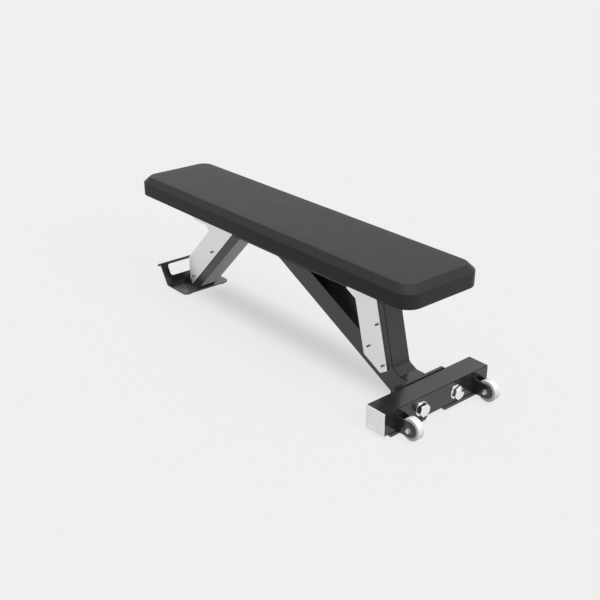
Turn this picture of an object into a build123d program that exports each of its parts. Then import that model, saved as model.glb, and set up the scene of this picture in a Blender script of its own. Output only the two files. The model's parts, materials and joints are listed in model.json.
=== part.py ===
from build123d import *
import os
from math import cos, radians, sin

# Flat weight bench. An upholstered pad lies on a welded frame of square steel tube: a top
# rail, a raked rear leg on a bent steel foot with a hand-hold, and a long spine that runs
# down to a bolted cross tube with rubber feet and two transport wheels in forks. Bright
# side plates cover the joints of the legs with the rail.
#
# Millimetres. +Z is up, +X points to the wheels and +Y to the left of someone facing that
# way. The origin is on the floor, under the middle of the bench.

# ---- Whole bench -----------------------------------------------------------------------
bench_length = 1388.0  # rear end of the pad to the front of the wheels
bench_height = 420.0  # floor to the top of the pad

# ---- Pad -------------------------------------------------------------------------------
pad_length = 1306.0
pad_width = 295.0
pad_thickness = 62.0
pad_bevel_run = 20.0  # how far the sloped border reaches in over the top
pad_bevel_rise = 20.0
pad_corner = 50.0  # corner radius of the outline
pad_top_corner = 36.0  # corner radius of the flat top inside the bevel
board_thickness = 15.0
board_margin = 12.0  # foam and cover around the plywood board
board_corner = 40.0

# ---- Square tube of the frame ----------------------------------------------------------
tube_size = 70.0
tube_wall = 3.0
tube_corner = 2.5  # outer corner radius
tube_bore_corner = 1.0

# ---- Top rail and the brackets that carry the pad --------------------------------------
rail_rear_setback = 166.0  # rear end of the pad to the rear end of the rail
bracket_height = 8.0
bracket_sheet = 4.0
bracket_width = 60.0
bracket_span = 230.0
bracket_tip_height = 5.0  # height left at the tapered ends
bracket_end_inset = 55.0  # rail end to the middle of an end bracket
pad_bolt_inset = 25.0  # tip of a bracket to the middle of a bolt

# ---- Rear leg and its foot -------------------------------------------------------------
leg_angle = 46.0
leg_heel_setback = 78.0  # rear end of the pad to the heel of the leg
foot_sheet = 5.0
foot_heel_setback = 66.5  # rear end of the pad to the bend of the foot
foot_base_length = 116.0
foot_width = 196.0
foot_corner = 18.0
foot_bend = 2.0  # inside radius of the bends
foot_riser_angle = 59.0
foot_riser_length = 79.5
foot_lip_length = 18.5
foot_lip_droop = 22.0  # degrees below level
lip_strip_length = 16.5  # strip that doubles the lip from below
lip_strip_thickness = 4.0
window_width = 142.0
window_start = 31.0  # up the riser, from the outside of the bend
window_top_strip = 4.5  # riser left above the window, below the bend of the lip
window_corner = 10.0
disc_radius = 19.0
disc_height = 5.0
disc_inset = 25.0  # from each edge of the base

# ---- Spine, post and cross tube at the wheel end ---------------------------------------
spine_angle = 27.0
elbow_run = 37.0  # flange plate back to the bend in the top of the spine
post_angle = 75.5
post_setback = 277.5  # front of the bench to the post, where it meets the rail
flange_thickness = 10.0
flange_width = 208.0
flange_height = 74.0
flange_corner = 8.0
cross_length = 421.0
cross_foot_height = 10.0
cross_foot_width = 76.0
cross_foot_length = 152.0
cross_foot_slope = 8.0  # each end of a foot leans in by this much
cross_foot_inset = 14.5  # end of the cross tube to the near end of its foot
cross_foot_second = 230.5  # same end of the cross tube to the near end of the other foot
cross_foot_screw_shares = (0.25, 0.75)  # along each foot

# ---- Plastic caps ----------------------------------------------------------------------
cap_thickness = 3.8
cap_dish = 1.2  # depth of the dished middle
cap_dish_size = 54.0
cap_dish_corner = 19.0
plug_thickness = 3.0
plug_depth = 16.0
plug_wall = 2.5
plug_clearance = 0.25
plug_edge_share = 0.4  # of the flange's thickness, chamfered off its edges

# ---- Side plates -----------------------------------------------------------------------
side_plate = 4.0
side_plate_top = 58.0  # height covered on the side of the rail
front_plate_reveal = 21.0  # strip of the post left bare in front
front_plate_width = 90.0
front_plate_sole = 20.2  # strip of the spine left bare below
front_plate_toe_angle = 33.0
front_flare_angle = 30.0
front_flare_drop = 15.5  # where the flare starts, below the rail
front_flare_top = 20.0  # where the flare ends, above the underside of the rail
rear_plate_reveal = 29.5
rear_plate_width = 81.0
rear_plate_heel = 54.0  # heel of the leg to the upright edge
rear_plate_tip = 11.0  # above the foot sheet
rear_plate_heel_height = 33.0
rear_flare_drop = 20.0
rear_plate_lap = 2.0  # how far the plate hangs below the rail
rear_plate_end_inset = 3.0  # from the rear end of the rail
rear_plate_end_chamfer = 8.0
rear_flare_radius = 14.0

# ---- Transport wheels ------------------------------------------------------------------
wheel_radius = 32.5
wheel_width = 21.0
wheel_clearance = 6.0  # floor to the bottom of the wheel
wheel_inset = 53.5  # end of the cross tube to the middle of the wheel
axle_reach = 51.0  # front of the cross tube to the axle
tyre_depth = 6.5
tyre_shoulder = 2.5
core_web = 11.0
core_hub_radius = 13.5
core_rim = 4.0
fork_sheet = 3.0
fork_gap = 24.0  # between the ears
fork_height = 50.0
fork_lift = 5.0  # underside of the cross tube to the underside of the fork
fork_tip_radius = 21.0
fork_bend = 1.5
bush_wall = 3.0
bush_flange = 3.0
bush_side_play = 0.2
sleeve_wall = 2.0

# ---- Fasteners -------------------------------------------------------------------------
fit_clearance = 0.05  # radial, between a shank and its hole or a sleeve and its bush
axle_radius = 4.0
axle_head_flats = 13.0
axle_head_height = 5.5
axle_nut_height = 7.0
axle_washer_radius = 8.0
axle_washer_thickness = 1.6
main_bolt_radius = 12.0
main_bolt_spacing = 143.0
main_bolt_flats = 36.0
main_bolt_head = 15.0
main_nut_height = 20.0
main_washer_radius = 22.0
main_washer_thickness = 4.0
bolt_stand_out = 3.0  # thread showing past a nut
hexagon_turned_share = 0.12  # of the flats, turned off the top corners
shank_chamfer_share = 1 / 6  # of the shank's radius
screw_chamfer_share = 0.15  # of the head's radius
screw_socket_share = 0.6  # of the head's height
plate_screw_radius = 2.0
plate_screw_length = 14.0
plate_screw_head_radius = 3.5
plate_screw_head_height = 6.0
plate_screw_flats = 3.0
post_screw_run = 61.5  # down the post from the rail
post_screw_depth = 35.0  # behind its front face
spine_screw_run = 135.8  # up the spine from the elbow
spine_screw_depth = 12.8  # below its top face
toe_screw_run = 62.8
toe_screw_depth = 21.3
leg_screw_run = 266.0  # up the leg from its heel
leg_screw_depth = 21.3  # below its upper face
heel_screw_run = 87.0
heel_screw_depth = 24.0
pad_bolt_radius = 4.0
pad_bolt_flats = 13.0
pad_bolt_head = 5.3
pad_washer_radius = 8.5
pad_washer_thickness = 1.6
tee_barrel_radius = 5.2
tee_barrel_length = 11.0
tee_flange_radius = 11.0
tee_flange_thickness = 1.5
rubber_recess_radius = 7.0
rubber_recess_depth = 2.2
rubber_screw_radius = 3.0
rubber_screw_head_radius = 5.75
rubber_screw_head_height = 2.0
rubber_screw_flats = 4.0
foot_screw_grip = 4.0  # depth of the blind holes in the foot sheet

os.makedirs("parts", exist_ok=True)


def finish(builder, name):
    """Label one finished piece and write it to its own file."""
    builder.part.label = name
    export_step(builder.part, f"parts/{name}.step")


def heading(angle):
    """Unit vector of the side view, at an angle in degrees above +X."""
    return Vector(cos(radians(angle)), 0, sin(radians(angle)))


def crossing(point_a, angle_a, point_b, angle_b):
    """Point of the side view where two lines meet, each through a point at an angle."""
    line_a = heading(angle_a)
    line_b = heading(angle_b)
    gap = point_b - point_a
    along = (gap.X * line_b.Z - gap.Z * line_b.X) / (line_a.X * line_b.Z - line_a.Z * line_b.X)
    return point_a + line_a * along


def along_tube(point, angle, run, depth):
    """Point a run along a tube's face from a point on it, and a depth to the right of it."""
    return point + heading(angle) * run + heading(angle - 90) * depth


def side_view(points):
    """Points of the side view as the (x, z) pairs that a sketch on the XZ plane takes."""
    return [(point.X, point.Z) for point in points]


def level(x, z):
    """Point of the side view."""
    return Vector(x, 0, z)


def tube_section(plane):
    """Square hollow section with rounded corners, across the tube."""
    bore = tube_size - 2 * tube_wall
    with BuildSketch(plane) as section:
        RectangleRounded(tube_size, tube_size, tube_corner)
        RectangleRounded(bore, bore, tube_bore_corner, mode=Mode.SUBTRACT)
    return section.sketch


def across(point, angle):
    """Plane square to a tube whose centre line runs through a side-view point at an angle."""
    return Plane(origin=point, x_dir=(0, 1, 0), z_dir=heading(angle))


def hexagon_block(flats, height, bore_radius):
    """Hexagon head or nut standing on z = 0, its top corners turned off, with its bore."""
    corner_radius = flats / 3**0.5
    turned = hexagon_turned_share * flats
    with BuildPart() as block:
        with BuildSketch():
            RegularPolygon(flats / 2, 6, major_radius=False, rotation=30)
        extrude(amount=height)
        with BuildSketch(Plane.XZ):
            with BuildLine():
                Polyline(
                    (0, 0),
                    (corner_radius, 0),
                    (corner_radius, height - turned / 2),
                    (corner_radius - turned, height),
                    (0, height),
                    close=True,
                )
            make_face()
        revolve(axis=Axis.Z, mode=Mode.INTERSECT)
        if bore_radius:
            Hole(bore_radius)
    return block.part


def washer(outer_radius, inner_radius, thickness):
    """Flat washer standing on z = 0."""
    with BuildPart() as ring:
        with BuildSketch():
            Circle(outer_radius)
            Circle(inner_radius, mode=Mode.SUBTRACT)
        extrude(amount=thickness)
    return ring.part


def hexagon_bolt(radius, flats, head, shank):
    """Bolt with its head above z = 0 and its shank below."""
    with BuildPart() as bolt:
        add(hexagon_block(flats, head, 0))
        with BuildSketch():
            Circle(radius)
        extrude(amount=-shank)
        chamfer(bolt.edges().sort_by(Axis.Z)[0], radius * shank_chamfer_share)
    return bolt.part


def socket_screw(radius, head_radius, head_height, flats, shank):
    """Screw with a hexagon socket, its head above z = 0 and its shank below."""
    with BuildPart() as screw:
        with BuildSketch():
            Circle(head_radius)
        extrude(amount=head_height)
        chamfer(screw.edges().group_by(Axis.Z)[-1], head_radius * screw_chamfer_share)
        with BuildSketch():
            Circle(radius)
        extrude(amount=-shank)
        with BuildSketch(Plane.XY.offset(head_height)):
            RegularPolygon(flats / 2, 6, major_radius=False)
        extrude(amount=-head_height * screw_socket_share, mode=Mode.SUBTRACT)
    return screw.part


# ---- Places that several pieces share --------------------------------------------------
rear_end = -bench_length / 2
front_end = bench_length / 2
half_tube = tube_size / 2
pad_bottom = bench_height - pad_thickness
pad_middle = rear_end + pad_length / 2
rail_top = pad_bottom - bracket_height
rail_bottom = rail_top - tube_size
rail_rear = rear_end + rail_rear_setback
rail_front = front_end - post_setback
low_tube_top = cross_foot_height + tube_size

axle_x = front_end - wheel_radius
axle_z = wheel_clearance + wheel_radius
cross_front = axle_x - axle_reach
cross_rear = cross_front - tube_size
cross_middle = cross_front - half_tube
flange_rear = cross_rear - flange_thickness

elbow = level(flange_rear - elbow_run, low_tube_top)  # bend in the top face of the spine
spine_lower = elbow - heading(90 - spine_angle) * tube_size  # on the lower face
post_top = level(rail_front, rail_bottom)  # front face of the post under the rail
post_foot = crossing(post_top, -post_angle, elbow, -spine_angle)
foot_top = disc_height + foot_sheet
leg_heel = level(rear_end + leg_heel_setback, foot_top)
leg_toe = leg_heel + level(tube_size / sin(radians(leg_angle)), 0)

# ---- Pad -------------------------------------------------------------------------------
pad_shoulder = bench_height - pad_bevel_rise
board_length = pad_length - 2 * board_margin
board_width = pad_width - 2 * board_margin

with BuildPart() as pad_cushion:
    with BuildSketch(Plane(origin=(pad_middle, 0, pad_bottom))):
        RectangleRounded(pad_length, pad_width, pad_corner)
    extrude(amount=pad_shoulder - pad_bottom)
    with BuildSketch(Plane(origin=(pad_middle, 0, pad_shoulder))):
        RectangleRounded(pad_length, pad_width, pad_corner)
    with BuildSketch(Plane(origin=(pad_middle, 0, bench_height))):
        RectangleRounded(
            pad_length - 2 * pad_bevel_run, pad_width - 2 * pad_bevel_run, pad_top_corner
        )
    loft(ruled=True)
    with BuildSketch(Plane(origin=(pad_middle, 0, pad_bottom))):
        RectangleRounded(board_length, board_width, board_corner)
    extrude(amount=board_thickness, mode=Mode.SUBTRACT)
finish(pad_cushion, "pad_cushion")

# Three brackets along the rail, two bolts up through each into the board.
bracket_places = {
    "rear": rail_rear + bracket_end_inset,
    "middle": (rail_rear + rail_front) / 2,
    "front": rail_front - bracket_end_inset,
}
pad_bolt_y = bracket_span / 2 - pad_bolt_inset
pad_bolt_places = [(x, side * pad_bolt_y) for x in bracket_places.values() for side in (-1, 1)]
board_top = pad_bottom + board_thickness

with BuildPart() as pad_board:
    with BuildSketch(Plane(origin=(pad_middle, 0, pad_bottom))):
        RectangleRounded(board_length, board_width, board_corner)
    extrude(amount=board_thickness)
    with BuildSketch(Plane.XY.offset(pad_bottom)):
        with Locations(*pad_bolt_places):
            Circle(tee_barrel_radius + fit_clearance)
    extrude(amount=board_thickness, mode=Mode.SUBTRACT)
    with BuildSketch(Plane.XY.offset(board_top)):
        with Locations(*pad_bolt_places):
            Circle(tee_flange_radius + fit_clearance)
    extrude(amount=-tee_flange_thickness, mode=Mode.SUBTRACT)
finish(pad_board, "pad_board")

with BuildPart() as pad_tee_nuts:
    with BuildSketch(Plane.XY.offset(board_top)):
        with Locations(*pad_bolt_places):
            Circle(tee_flange_radius)
    extrude(amount=-tee_flange_thickness)
    with BuildSketch(Plane.XY.offset(board_top)):
        with Locations(*pad_bolt_places):
            Circle(tee_barrel_radius)
    extrude(amount=-tee_barrel_length)
    with BuildSketch(Plane.XY.offset(board_top)):
        with Locations(*pad_bolt_places):
            Circle(pad_bolt_radius + fit_clearance)
    extrude(amount=-tee_barrel_length, mode=Mode.SUBTRACT)
finish(pad_tee_nuts, "pad_tee_nuts")

# The bracket is a channel folded from sheet, open below, with tapered ends.
for place, bracket_x in bracket_places.items():
    with BuildPart() as bracket:
        with BuildSketch(Plane.XZ.offset(-bracket_span / 2)):
            with Locations((bracket_x, rail_top + bracket_height / 2)):
                Rectangle(bracket_width, bracket_height)
        extrude(amount=bracket_span)
        fillet(bracket.edges().filter_by(Axis.Y).group_by(Axis.Z)[-1], bracket_sheet)
        with BuildSketch(Plane.XZ.offset(-bracket_span / 2)):
            with Locations((bracket_x, rail_top + (bracket_height - bracket_sheet) / 2)):
                Rectangle(bracket_width - 2 * bracket_sheet, bracket_height - bracket_sheet)
        extrude(amount=bracket_span, mode=Mode.SUBTRACT)
        with BuildSketch(Plane.YZ.offset(bracket_x - bracket_width / 2)):
            for side in (-1, 1):
                with BuildLine():
                    Polyline(
                        (side * half_tube, rail_top),
                        (side * bracket_span / 2, pad_bottom - bracket_tip_height),
                        (side * bracket_span / 2, rail_top),
                        close=True,
                    )
                make_face()
        extrude(amount=bracket_width, mode=Mode.SUBTRACT)
        with BuildSketch(Plane.XY.offset(pad_bottom)):
            with Locations((bracket_x, 0)):
                with GridLocations(0, 2 * pad_bolt_y, 1, 2):
                    Circle(pad_bolt_radius + fit_clearance)
        extrude(amount=-bracket_sheet, mode=Mode.SUBTRACT)
    finish(bracket, f"pad_bracket_{place}")

bracket_web_bottom = pad_bottom - bracket_sheet
pad_bolt_seat = bracket_web_bottom - pad_washer_thickness
pad_bolt_shank = pad_washer_thickness + bracket_sheet + board_thickness - tee_flange_thickness
pad_bolt = hexagon_bolt(pad_bolt_radius, pad_bolt_flats, pad_bolt_head, pad_bolt_shank)
pad_washer = washer(pad_washer_radius, pad_bolt_radius + fit_clearance, pad_washer_thickness)

with BuildPart() as pad_washers:
    for x, y in pad_bolt_places:
        with Locations((x, y, pad_bolt_seat)):
            add(pad_washer)
finish(pad_washers, "pad_washers")

with BuildPart() as pad_bolts:
    for x, y in pad_bolt_places:
        with Locations(Plane(origin=(x, y, pad_bolt_seat), z_dir=(0, 0, -1)).location):
            add(pad_bolt)
finish(pad_bolts, "pad_bolts")

# ---- Where the plate screws go into the tubes ------------------------------------------
post_screw = along_tube(post_top, -post_angle, post_screw_run, post_screw_depth)
spine_screw = along_tube(elbow, 180 - spine_angle, spine_screw_run, -spine_screw_depth)
toe_screw = along_tube(elbow, 180 - spine_angle, toe_screw_run, -toe_screw_depth)
leg_screw = along_tube(leg_heel, leg_angle, leg_screw_run, leg_screw_depth)
heel_screw = along_tube(leg_heel, leg_angle, heel_screw_run, heel_screw_depth)


def cut_screw_holes(points):
    """Threaded holes through both side walls of the tube being made."""
    for point in points:
        with Locations(Plane(origin=(point.X, 0, point.Z), z_dir=(0, -1, 0)).location):
            Hole(plate_screw_radius + fit_clearance)


# ---- Frame tubes -----------------------------------------------------------------------
rail_centre = rail_bottom + half_tube

with BuildPart() as top_rail:
    extrude(tube_section(across(level(rail_rear, rail_centre), 0)), amount=rail_front - rail_rear)
finish(top_rail, "top_rail")

leg_centre = leg_heel - heading(90 + leg_angle) * half_tube
leg_length = (rail_bottom - foot_top) / sin(radians(leg_angle)) + 2 * tube_size
with BuildPart() as rear_leg:
    extrude(
        tube_section(across(leg_centre - heading(leg_angle) * tube_size, leg_angle)),
        amount=leg_length + tube_size,
    )
    split(bisect_by=Plane.XY.offset(foot_top), keep=Keep.TOP)
    split(bisect_by=Plane.XY.offset(rail_bottom), keep=Keep.BOTTOM)
    cut_screw_holes([leg_screw, heel_screw])
finish(rear_leg, "rear_leg")

# The spine and its short level foot meet in a mitre that halves the bend.
mitre = Plane(origin=elbow, x_dir=(0, 1, 0), z_dir=heading(-spine_angle / 2))
spine_centre = elbow - heading(90 - spine_angle) * half_tube
spine_length = (rail_bottom - low_tube_top) / sin(radians(spine_angle)) + 3 * tube_size
with BuildPart() as spine_tube:
    extrude(
        tube_section(across(spine_centre - heading(-spine_angle) * spine_length, -spine_angle)),
        amount=spine_length + tube_size,
    )
    split(bisect_by=mitre, keep=Keep.BOTTOM)
    split(bisect_by=Plane.XY.offset(rail_bottom), keep=Keep.BOTTOM)
    cut_screw_holes([spine_screw, toe_screw])
finish(spine_tube, "spine_tube")

with BuildPart() as spine_foot:
    extrude(
        tube_section(across(level(flange_rear, cross_foot_height + half_tube), 180)),
        amount=elbow_run + tube_size,
    )
    split(bisect_by=mitre, keep=Keep.TOP)
finish(spine_foot, "spine_foot")

# The front post stands on the top face of the spine.
post_centre = post_top - heading(90 - post_angle) * half_tube
post_length = (rail_bottom - post_foot.Z) / sin(radians(post_angle)) + 2 * tube_size
with BuildPart() as front_post:
    extrude(
        tube_section(across(post_centre + heading(180 - post_angle) * tube_size, -post_angle)),
        amount=post_length + tube_size,
    )
    split(bisect_by=Plane.XY.offset(rail_bottom), keep=Keep.BOTTOM)
    split(
        bisect_by=Plane(origin=elbow, x_dir=(0, 1, 0), z_dir=heading(90 - spine_angle)),
        keep=Keep.TOP,
    )
    cut_screw_holes([post_screw])
finish(front_post, "front_post")

# ---- Side plates -----------------------------------------------------------------------
plate_top = rail_bottom + side_plate_top

# Front plate: its long edges follow the post and its sole follows the spine.
front_edge = post_top - heading(90 - post_angle) * front_plate_reveal
back_edge = front_edge - heading(90 - post_angle) * front_plate_width
sole = elbow - heading(90 - spine_angle) * (tube_size - front_plate_sole)
toe = crossing(front_edge, -post_angle, level(0, low_tube_top), 0)
flare = crossing(back_edge, -post_angle, level(0, rail_bottom - front_flare_drop), 0)
flare_end = crossing(
    flare, 180 - front_flare_angle, level(0, rail_bottom + front_flare_top), 0
)
front_plate_outline = [
    toe,
    crossing(front_edge, -post_angle, level(0, plate_top), 0),
    level(flare_end.X, plate_top),
    flare_end,
    flare,
    crossing(back_edge, -post_angle, sole, -spine_angle),
    crossing(toe, front_plate_toe_angle, sole, -spine_angle),
]

# Rear plate: its long edges follow the leg and it reaches back along the rail.
leg_front_edge = leg_toe + heading(90 + leg_angle) * rear_plate_reveal
leg_back_edge = leg_front_edge + heading(90 + leg_angle) * rear_plate_width
heel_line = level(leg_heel.X + rear_plate_heel, 0)
rear_flare = crossing(leg_back_edge, leg_angle, level(0, rail_bottom - rear_flare_drop), 0)
rear_lap = rail_bottom - rear_plate_lap
rear_lap_start = crossing(rear_flare, 90 + leg_angle, level(0, rear_lap), 0)
rear_plate_end = rail_rear + rear_plate_end_inset
rear_plate_outline = [
    crossing(leg_front_edge, leg_angle, level(0, foot_top + rear_plate_tip), 0),
    crossing(leg_front_edge, leg_angle, level(0, plate_top), 0),
    level(rear_plate_end, plate_top),
    level(rear_plate_end, rear_lap + rear_plate_end_chamfer),
    level(rear_plate_end + rear_plate_end_chamfer, rear_lap),
    rear_lap_start,
    rear_flare,
    crossing(heel_line, 90, leg_back_edge, leg_angle),
    level(heel_line.X, foot_top + rear_plate_heel_height),
]

for side_name, side in (("left", 1), ("right", -1)):
    face = Plane.XZ.offset(-side * half_tube)
    with BuildPart() as front_plate:
        with BuildSketch(face):
            with BuildLine():
                Polyline(*side_view(front_plate_outline), close=True)
            make_face()
            with Locations(*side_view([post_screw, spine_screw, toe_screw])):
                Circle(plate_screw_radius + fit_clearance, mode=Mode.SUBTRACT)
        extrude(amount=-side * side_plate)
    finish(front_plate, f"front_side_plate_{side_name}")

    with BuildPart() as rear_plate:
        with BuildSketch(face):
            with BuildLine():
                Polyline(*side_view(rear_plate_outline), close=True)
            make_face()
            with Locations(*side_view([leg_screw, heel_screw])):
                Circle(plate_screw_radius + fit_clearance, mode=Mode.SUBTRACT)
        extrude(amount=-side * side_plate)
        inner_edge = rear_plate.edges().filter_by(Axis.Y).sort_by_distance(rear_lap_start)[0]
        fillet(inner_edge, rear_flare_radius)
    finish(rear_plate, f"rear_side_plate_{side_name}")

# The plates are held by small cap screws.
plate_screw = socket_screw(
    plate_screw_radius,
    plate_screw_head_radius,
    plate_screw_head_height,
    plate_screw_flats,
    plate_screw_length,
)
plate_screw_points = [post_screw, spine_screw, toe_screw, leg_screw, heel_screw]
with BuildPart() as plate_screws:
    for side in (-1, 1):
        for point in plate_screw_points:
            seat = (point.X, side * (half_tube + side_plate), point.Z)
            with Locations(Plane(origin=seat, z_dir=(0, side, 0)).location):
                add(plate_screw)
finish(plate_screws, "plate_screws")

# ---- Plugs and caps in the tube ends ---------------------------------------------------


def end_plug(plane, flange):
    """Moulded plug on a tube's end plane: a square flange outside, a hollow box inside."""
    body = tube_size - 2 * tube_wall - 2 * plug_clearance
    with BuildPart() as plug:
        with BuildSketch(plane):
            RectangleRounded(tube_size, tube_size, tube_corner)
        extrude(amount=flange)
        outer_edges = plug.faces().sort_by(Axis(plane.origin, plane.z_dir))[-1].edges()
        chamfer(outer_edges, flange * plug_edge_share)
        with BuildSketch(plane):
            RectangleRounded(body, body, tube_bore_corner)
            RectangleRounded(
                body - 2 * plug_wall, body - 2 * plug_wall, tube_bore_corner, mode=Mode.SUBTRACT
            )
        extrude(amount=-plug_depth)
    return plug.part


rail_end_planes = {
    "rear": across(level(rail_rear, rail_centre), 180),
    "front": across(level(rail_front, rail_centre), 0),
}
for place, plane in rail_end_planes.items():
    with BuildPart() as rail_plug:
        add(end_plug(plane, plug_thickness))
    finish(rail_plug, f"rail_plug_{place}")

cross_centre = cross_foot_height + half_tube
for side_name, side in (("left", 1), ("right", -1)):
    tube_end = Plane(
        origin=(cross_middle, side * cross_length / 2, cross_centre),
        x_dir=(1, 0, 0),
        z_dir=(0, side, 0),
    )
    with BuildPart() as cap:
        add(end_plug(tube_end, cap_thickness))
        with BuildSketch(tube_end.offset(cap_thickness)):
            RectangleRounded(cap_dish_size, cap_dish_size, cap_dish_corner)
        extrude(amount=-cap_dish, mode=Mode.SUBTRACT)
    finish(cap, f"end_cap_{side_name}")

# ---- Rear foot: one bent sheet with a hand-hold and a doubled lip ----------------------
foot_heel_x = rear_end + foot_heel_setback
foot_front_x = foot_heel_x + foot_base_length
foot_heel = level(foot_heel_x, disc_height)
riser_direction = heading(180 - foot_riser_angle)
riser_head = foot_heel + riser_direction * foot_riser_length
lip_direction = heading(180 + foot_lip_droop)
lip_end = riser_head + lip_direction * foot_lip_length
strip_start = lip_end - lip_direction * lip_strip_length
strip_depth = heading(foot_lip_droop - 90) * lip_strip_thickness
window_height = foot_riser_length - window_start - window_top_strip
window_middle = foot_heel + riser_direction * (window_start + window_height / 2)
window_plane = Plane(origin=window_middle, x_dir=(0, 1, 0), z_dir=heading(90 - foot_riser_angle))
disc_x_places = (foot_heel_x + disc_inset, foot_front_x - disc_inset)
disc_y_places = (disc_inset - foot_width / 2, foot_width / 2 - disc_inset)
disc_places = [(x, y) for x in disc_x_places for y in disc_y_places]

with BuildPart() as rear_foot:
    with BuildSketch(Plane.XZ.offset(-foot_width / 2)):
        with BuildLine():
            FilletPolyline(
                *side_view([level(foot_front_x, disc_height), foot_heel, riser_head, lip_end]),
                radius=[foot_bend + foot_sheet, foot_bend],
            )
            offset(amount=foot_sheet, side=Side.RIGHT)
        make_face()
    extrude(amount=foot_width)
    with BuildSketch(Plane.XZ.offset(-foot_width / 2)):
        with BuildLine():
            Polyline(
                *side_view(
                    [lip_end, strip_start, strip_start + strip_depth, lip_end + strip_depth]
                ),
                close=True,
            )
        make_face()
    extrude(amount=foot_width)
    base_front = rear_foot.faces().sort_by(Axis.X)[-1]
    fillet(base_front.edges().filter_by(Axis.Z), foot_corner)
    with BuildSketch(window_plane) as window:
        Rectangle(window_width, window_height)
        fillet(window.vertices().group_by(Axis.Z)[0], window_corner)
    extrude(amount=2 * foot_sheet, both=True, mode=Mode.SUBTRACT)
    with BuildSketch(Plane.XY.offset(disc_height)):
        with Locations(*disc_places):
            Circle(rubber_screw_radius + fit_clearance)
    extrude(amount=foot_screw_grip, mode=Mode.SUBTRACT)
finish(rear_foot, "rear_foot")

# Rubber discs under the foot, each held by a screw sunk in a recess from below.
with BuildPart() as rear_foot_discs:
    with BuildSketch():
        with Locations(*disc_places):
            Circle(disc_radius)
            Circle(rubber_screw_radius + fit_clearance, mode=Mode.SUBTRACT)
    extrude(amount=disc_height)
    with BuildSketch():
        with Locations(*disc_places):
            Circle(rubber_recess_radius)
    extrude(amount=rubber_recess_depth, mode=Mode.SUBTRACT)
finish(rear_foot_discs, "rear_foot_discs")

disc_screw = socket_screw(
    rubber_screw_radius,
    rubber_screw_head_radius,
    rubber_screw_head_height,
    rubber_screw_flats,
    disc_height + foot_screw_grip - rubber_recess_depth,
)
with BuildPart() as rear_foot_screws:
    for x, y in disc_places:
        seat = (x, y, rubber_recess_depth)
        with Locations(Plane(origin=seat, z_dir=(0, 0, -1)).location):
            add(disc_screw)
finish(rear_foot_screws, "rear_foot_screws")

# ---- Cross tube, its rubber feet and the flange that carries it ------------------------
main_bolt_places = [(side * main_bolt_spacing / 2, cross_centre) for side in (-1, 1)]
cross_foot_starts = {
    "right": cross_foot_inset - cross_length / 2,
    "left": cross_foot_second - cross_length / 2,
}
foot_screw_places = [
    (cross_middle, start + share * cross_foot_length)
    for start in cross_foot_starts.values()
    for share in cross_foot_screw_shares
]

with BuildPart() as flange_plate:
    with BuildSketch(Plane.YZ.offset(flange_rear)):
        with Locations((0, cross_foot_height + flange_height / 2)):
            RectangleRounded(flange_width, flange_height, flange_corner)
        with Locations(*main_bolt_places):
            Circle(main_bolt_radius + fit_clearance, mode=Mode.SUBTRACT)
    extrude(amount=flange_thickness)
finish(flange_plate, "flange_plate")

with BuildPart() as cross_tube:
    tube_start = Plane(
        origin=(cross_middle, -cross_length / 2, cross_centre), x_dir=(1, 0, 0), z_dir=(0, 1, 0)
    )
    extrude(tube_section(tube_start), amount=cross_length)
    with BuildSketch(Plane.YZ.offset(cross_rear)):
        with Locations(*main_bolt_places):
            Circle(main_bolt_radius + fit_clearance)
    extrude(amount=tube_size, mode=Mode.SUBTRACT)
    with BuildSketch(Plane.XY.offset(cross_foot_height)):
        with Locations(*foot_screw_places):
            Circle(rubber_screw_radius + fit_clearance)
    extrude(amount=tube_wall, mode=Mode.SUBTRACT)
finish(cross_tube, "cross_tube")

for side_name, start in cross_foot_starts.items():
    end = start + cross_foot_length
    with BuildPart() as cross_foot:
        with BuildSketch(Plane.YZ.offset(cross_middle - cross_foot_width / 2)):
            with BuildLine():
                Polyline(
                    (start, cross_foot_height),
                    (start + cross_foot_slope, 0),
                    (end - cross_foot_slope, 0),
                    (end, cross_foot_height),
                    close=True,
                )
            make_face()
        extrude(amount=cross_foot_width)
        places = [(x, y) for x, y in foot_screw_places if start < y < end]
        with BuildSketch():
            with Locations(*places):
                Circle(rubber_recess_radius)
        extrude(amount=rubber_recess_depth, mode=Mode.SUBTRACT)
        with BuildSketch():
            with Locations(*places):
                Circle(rubber_screw_radius + fit_clearance)
        extrude(amount=cross_foot_height, mode=Mode.SUBTRACT)
    finish(cross_foot, f"cross_foot_{side_name}")

foot_screw = socket_screw(
    rubber_screw_radius,
    rubber_screw_head_radius,
    rubber_screw_head_height,
    rubber_screw_flats,
    cross_foot_height - rubber_recess_depth + 2 * tube_wall,
)
with BuildPart() as cross_foot_screws:
    for x, y in foot_screw_places:
        seat = (x, y, rubber_recess_depth)
        with Locations(Plane(origin=seat, z_dir=(0, 0, -1)).location):
            add(foot_screw)
finish(cross_foot_screws, "cross_foot_screws")


def facing(origin, towards):
    """Place for a fastener whose axis runs to the front (+1) or to the back (-1)."""
    return Plane(origin=origin, x_dir=(0, towards, 0), z_dir=(towards, 0, 0)).location


# Two heavy bolts clamp the cross tube to the flange.
main_bolt = hexagon_bolt(
    main_bolt_radius,
    main_bolt_flats,
    main_bolt_head,
    2 * main_washer_thickness + tube_size + flange_thickness + main_nut_height + bolt_stand_out,
)
main_nut = hexagon_block(main_bolt_flats, main_nut_height, main_bolt_radius + fit_clearance)
main_washer = washer(main_washer_radius, main_bolt_radius + fit_clearance, main_washer_thickness)

with BuildPart() as flange_bolts:
    for y, z in main_bolt_places:
        with Locations(facing((cross_front + main_washer_thickness, y, z), 1)):
            add(main_bolt)
finish(flange_bolts, "flange_bolts")

with BuildPart() as flange_washers:
    for y, z in main_bolt_places:
        with Locations(facing((cross_front, y, z), 1), facing((flange_rear, y, z), -1)):
            add(main_washer)
finish(flange_washers, "flange_washers")

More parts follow.
